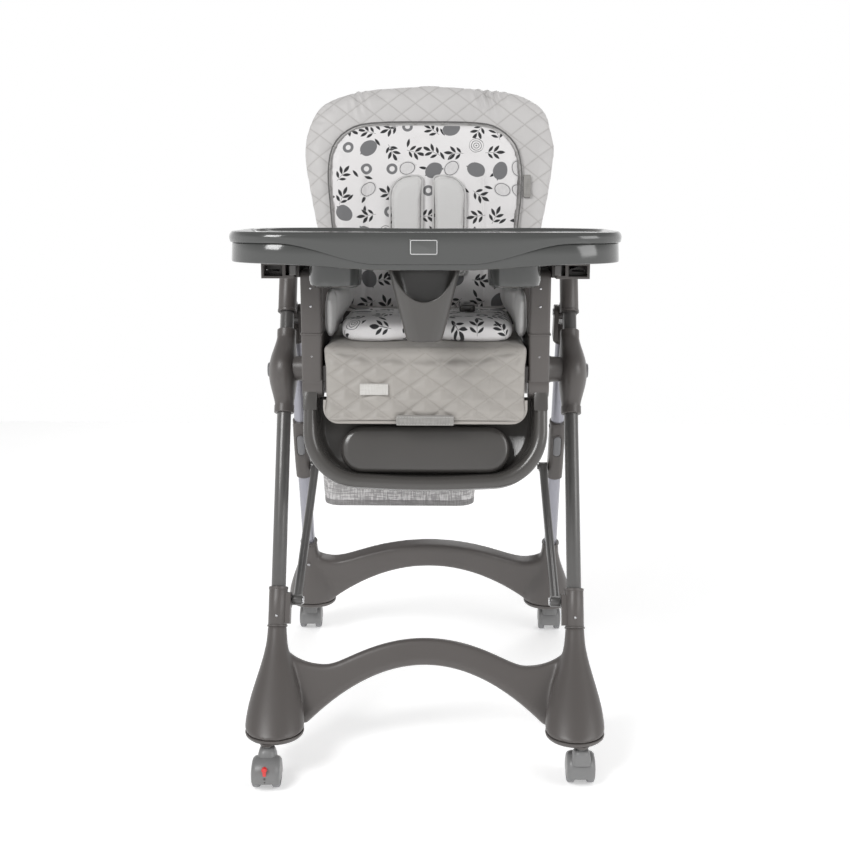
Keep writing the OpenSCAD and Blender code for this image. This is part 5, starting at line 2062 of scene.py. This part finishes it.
@dataclass
class Basket:
    """The cloth basket hung under the seat: its walls in X, Y and Z, in millimetres."""

    left: float = -181.5
    right: float = 84.5
    front: float = -43.5
    back: float = 128.5
    low: float = 373.0
    top: float = 619.0
    mouth: float = 452.0
    wall: float = 1.6

    def ring(self, z: float, grow: float = 0.0) -> list[Flat]:
        """The basket's outline at a height, narrower at the top where the seat carries it."""
        pull = smooth_step(530, 585, z)
        turn = min(1.0, max(0.0, (self.low + 20 - z) / 20))
        grow = grow - 9 * (1 - sqrt(1 - turn * turn))
        left = self.left + 23.5 * pull - grow
        right = self.right + grow
        belly = 3.2 * sin(pi * min(1, (z - self.low) / 240)) if z > self.low else 0
        pts = rounded(right - left, self.back - self.front + 2 * grow, 30 + grow, (left + right) / 2,
                      (self.front + self.back) / 2, 6)
        middle = ((left + right) / 2, (self.front + self.back) / 2)
        return [(middle[0] + (x - middle[0]) * (1 - (3.2 - belly) / 130),
                 middle[1] + (y - middle[1]) * (1 - (3.2 - belly) / 90))
                for x, y in pts]

    def edge_height(self, y: float) -> float:
        """How high the wall stands: full in front, low at the rear."""
        return self.mouth + (self.top - self.mouth) * smooth_step(112, 60, y)

    def build(self) -> None:
        """Builds the sagging cloth and its bindings."""
        form, rings = Form(), []
        base = self.ring(self.low + 3)
        cx, cy = (self.left + self.right) / 2, (self.front + self.back) / 2
        for t in (0.05, 0.2, 0.4, 0.6, 0.8, 0.92, 0.98):
            sag = -3.2 * (1 - t * t)
            rings.append([(cx + (x - cx) * t, cy + (y - cy) * t, self.low + 1 + sag + (0 if t < 0.95 else 0.6)) for x,
                          y in base])
        for k in range(27):
            t = k / 26
            row = []
            for i, (x, y) in enumerate(base):
                high = self.edge_height(y)
                z = self.low + 3 + (high - self.low - 3) * t
                px, py = self.ring(z)[i]
                wave = 1.6 * sin(i * 0.9 + z / 37) * sin(pi * t) * smooth_step(0, 0.3, t)
                row.append((px + wave * 0.4, py + wave, z))
            rings.append(row)
        form.loft(rings, caps=(True, False))
        mesh = form.mesh(STANCE.world, closed=False, smooth=70)
        obj = stand_in("under_seat_basket", mesh)
        bm = bmesh.new()
        bm.from_mesh(obj.data)
        bmesh.ops.recalc_face_normals(bm, faces=bm.faces)
        middle = Vector((cx, cy, 450)) * MM
        if sum((f.calc_center_median() - middle).dot(f.normal) for f in bm.faces) < 0:
            bmesh.ops.reverse_faces(bm, faces=bm.faces)
        bm.to_mesh(obj.data)
        bm.free()
        self.area = sum(p.area for p in obj.data.polygons)
        log.info("basket cloth: %.4f square metres", self.area)
        cloth = obj.modifiers.new("cloth", "SOLIDIFY")
        cloth.thickness, cloth.offset = self.wall * MM, 0
        settle(obj)
        cloth_grain(obj, STANCE.world)
        obj.data.shade_smooth()
        adopt(obj, BASKET, "seat", ["basket"])
        for name, heights in (("basket_base_binding", [self.low + 7] * len(base)),
                              ("basket_top_binding", [self.edge_height(y) - 2 for _, y in base])):
            path = [(*self.ring(z, 0.9)[i], z) for i, z in enumerate(heights)]
            band = Form().sweep(path, [(1.4, -5), (1.8, 0), (1.4, 5), (-1.0, 5), (-1.0, -5)], closed=True)
            sewn(name, band, STANCE.world, BINDING, "seat", "basket_fabric")


# ---- what stays as the model gives it


KEPT_FINISHES = {
    "front_tube": FRONT_TUBE, "rear_tube": REAR_TUBE, "front_collar": BASE, "front_knuckle": BASE, "rear_knuckle": BASE,
    "frame_pins": STEEL, "brace": FRONT_TUBE, "seat_shell": BASE, "backrest_shell": BASE, "backrest_pins": STEEL,
    "recline_handle": DARK, "footrest_pins": STEEL,
}


def dress_kept() -> None:
    """Gives the tubes, joints and shells their finishes and rounds their edges."""
    for name in frame["nodes"]:
        finish = next((f for start, f in KEPT_FINISHES.items() if name.startswith(start)), None)
        obj = bpy.data.objects.get(name)
        if finish is None or obj is None:
            continue
        if not obj.material_slots:
            obj.data.materials.append(finish.material())
        for place in obj.material_slots:
            place.material = finish.material()
        weld = obj.modifiers.new("weld", "WELD")
        weld.merge_threshold = 0.00002
        edge = obj.modifiers.new("edge", "BEVEL")
        edge.width, edge.segments, edge.limit_method = 0.0008, 2, "ANGLE"
        edge.angle_limit, edge.harden_normals = radians(38), True
        log.info("%s: kept", name)


# ---- stage

CAMERA_PLACE = (0.034, -2.0839, 0.9975)
CAMERA_DOWN = 13.196
CAMERA_TURN = 1.05
LENS, SENSOR = 52.24, 36
AIM = Vector((0, 0, 0.55))
LAMPS = (("key", (-1.7, -2.2, 2.6), 1.3, 56), ("fill", (2.4, -1.6, 1.7), 1.6, 26), ("back", (0.6, 2.4, 2.6), 1.8, 24))


def stage() -> None:
    """Sets a white floor, soft lights and the camera."""
    scene = bpy.context.scene
    floor = Form().loft([[(-2200, -2200, 0), (2200, -2200, 0)], [(-2200, 2200, 0), (2200, 2200, 0)]], closed=False)
    obj = stand_in("studio_floor", floor.mesh(STANCE.world @ Matrix.Translation((0, 0, -0.4)), closed=False))
    bench = Bench("studio_floor")
    cloud = bench.noise(2, bench.place(), 2)
    shade = bench.blend(cloud, (0.93, 0.93, 0.93, 1), (0.97, 0.97, 0.97, 1))
    obj.data.materials.append(bench.finish(Base_Color=shade, Roughness=0.9, Specular_IOR_Level=0.1,
                                           Emission_Color=(1, 1, 1, 1), Emission_Strength=0.35))
    world = bpy.data.worlds.new("studio")
    world.use_nodes = True
    sky, link = world.node_tree.nodes, world.node_tree.links
    way, height, fade = sky.new("ShaderNodeTexCoord"), sky.new("ShaderNodeSeparateXYZ"), sky.new("ShaderNodeMapRange")
    for key, value in (("From Min", 0.12), ("From Max", 0.5), ("To Min", 1.0), ("To Max", 0.35)):
        fade.inputs[key].default_value = value
    link.new(way.outputs["Generated"], height.inputs[0])
    link.new(height.outputs["Z"], fade.inputs["Value"])
    link.new(fade.outputs[0], sky["Background"].inputs[1])
    sky["Background"].inputs[0].default_value = (1, 1, 1, 1)
    scene.world = world
    for name, spot, size, power in LAMPS:
        light = bpy.data.lights.new(name, "AREA")
        light.size, light.energy = size, power
        lamp = bpy.data.objects.new(name, light)
        lamp.location = spot
        lamp.rotation_euler = (AIM - Vector(spot)).to_track_quat("-Z", "Y").to_euler()
        scene.collection.objects.link(lamp)
    lens = bpy.data.cameras.new("view")
    lens.lens, lens.sensor_width = LENS, SENSOR
    camera = bpy.data.objects.new("view", lens)
    camera.location = CAMERA_PLACE
    camera.rotation_euler = (radians(90 - CAMERA_DOWN), 0, radians(CAMERA_TURN))
    scene.collection.objects.link(camera)
    scene.camera = camera
    scene.view_settings.view_transform = "Standard"


def main() -> None:
    """Builds and dresses the chair, and sets up the stage."""
    Frame().build()
    Carriages().build()
    SideFrames().build()
    Footrest().build()
    Tray().build()
    for corner, side, stem_y, trail in (("front_left", Side.LEFT, -312, -1), ("front_right", Side.RIGHT, -312, 1),
                                        ("rear_left", Side.LEFT, 314, 1), ("rear_right", Side.RIGHT, 314, 1)):
        Caster(corner, side, stem_y, trail).build()
    Backrest().build()
    SeatSoft().build()
    Basket().build()
    dress_kept()
    stage()
    log.info("size noted")


if __name__ == "__main__":
    main()
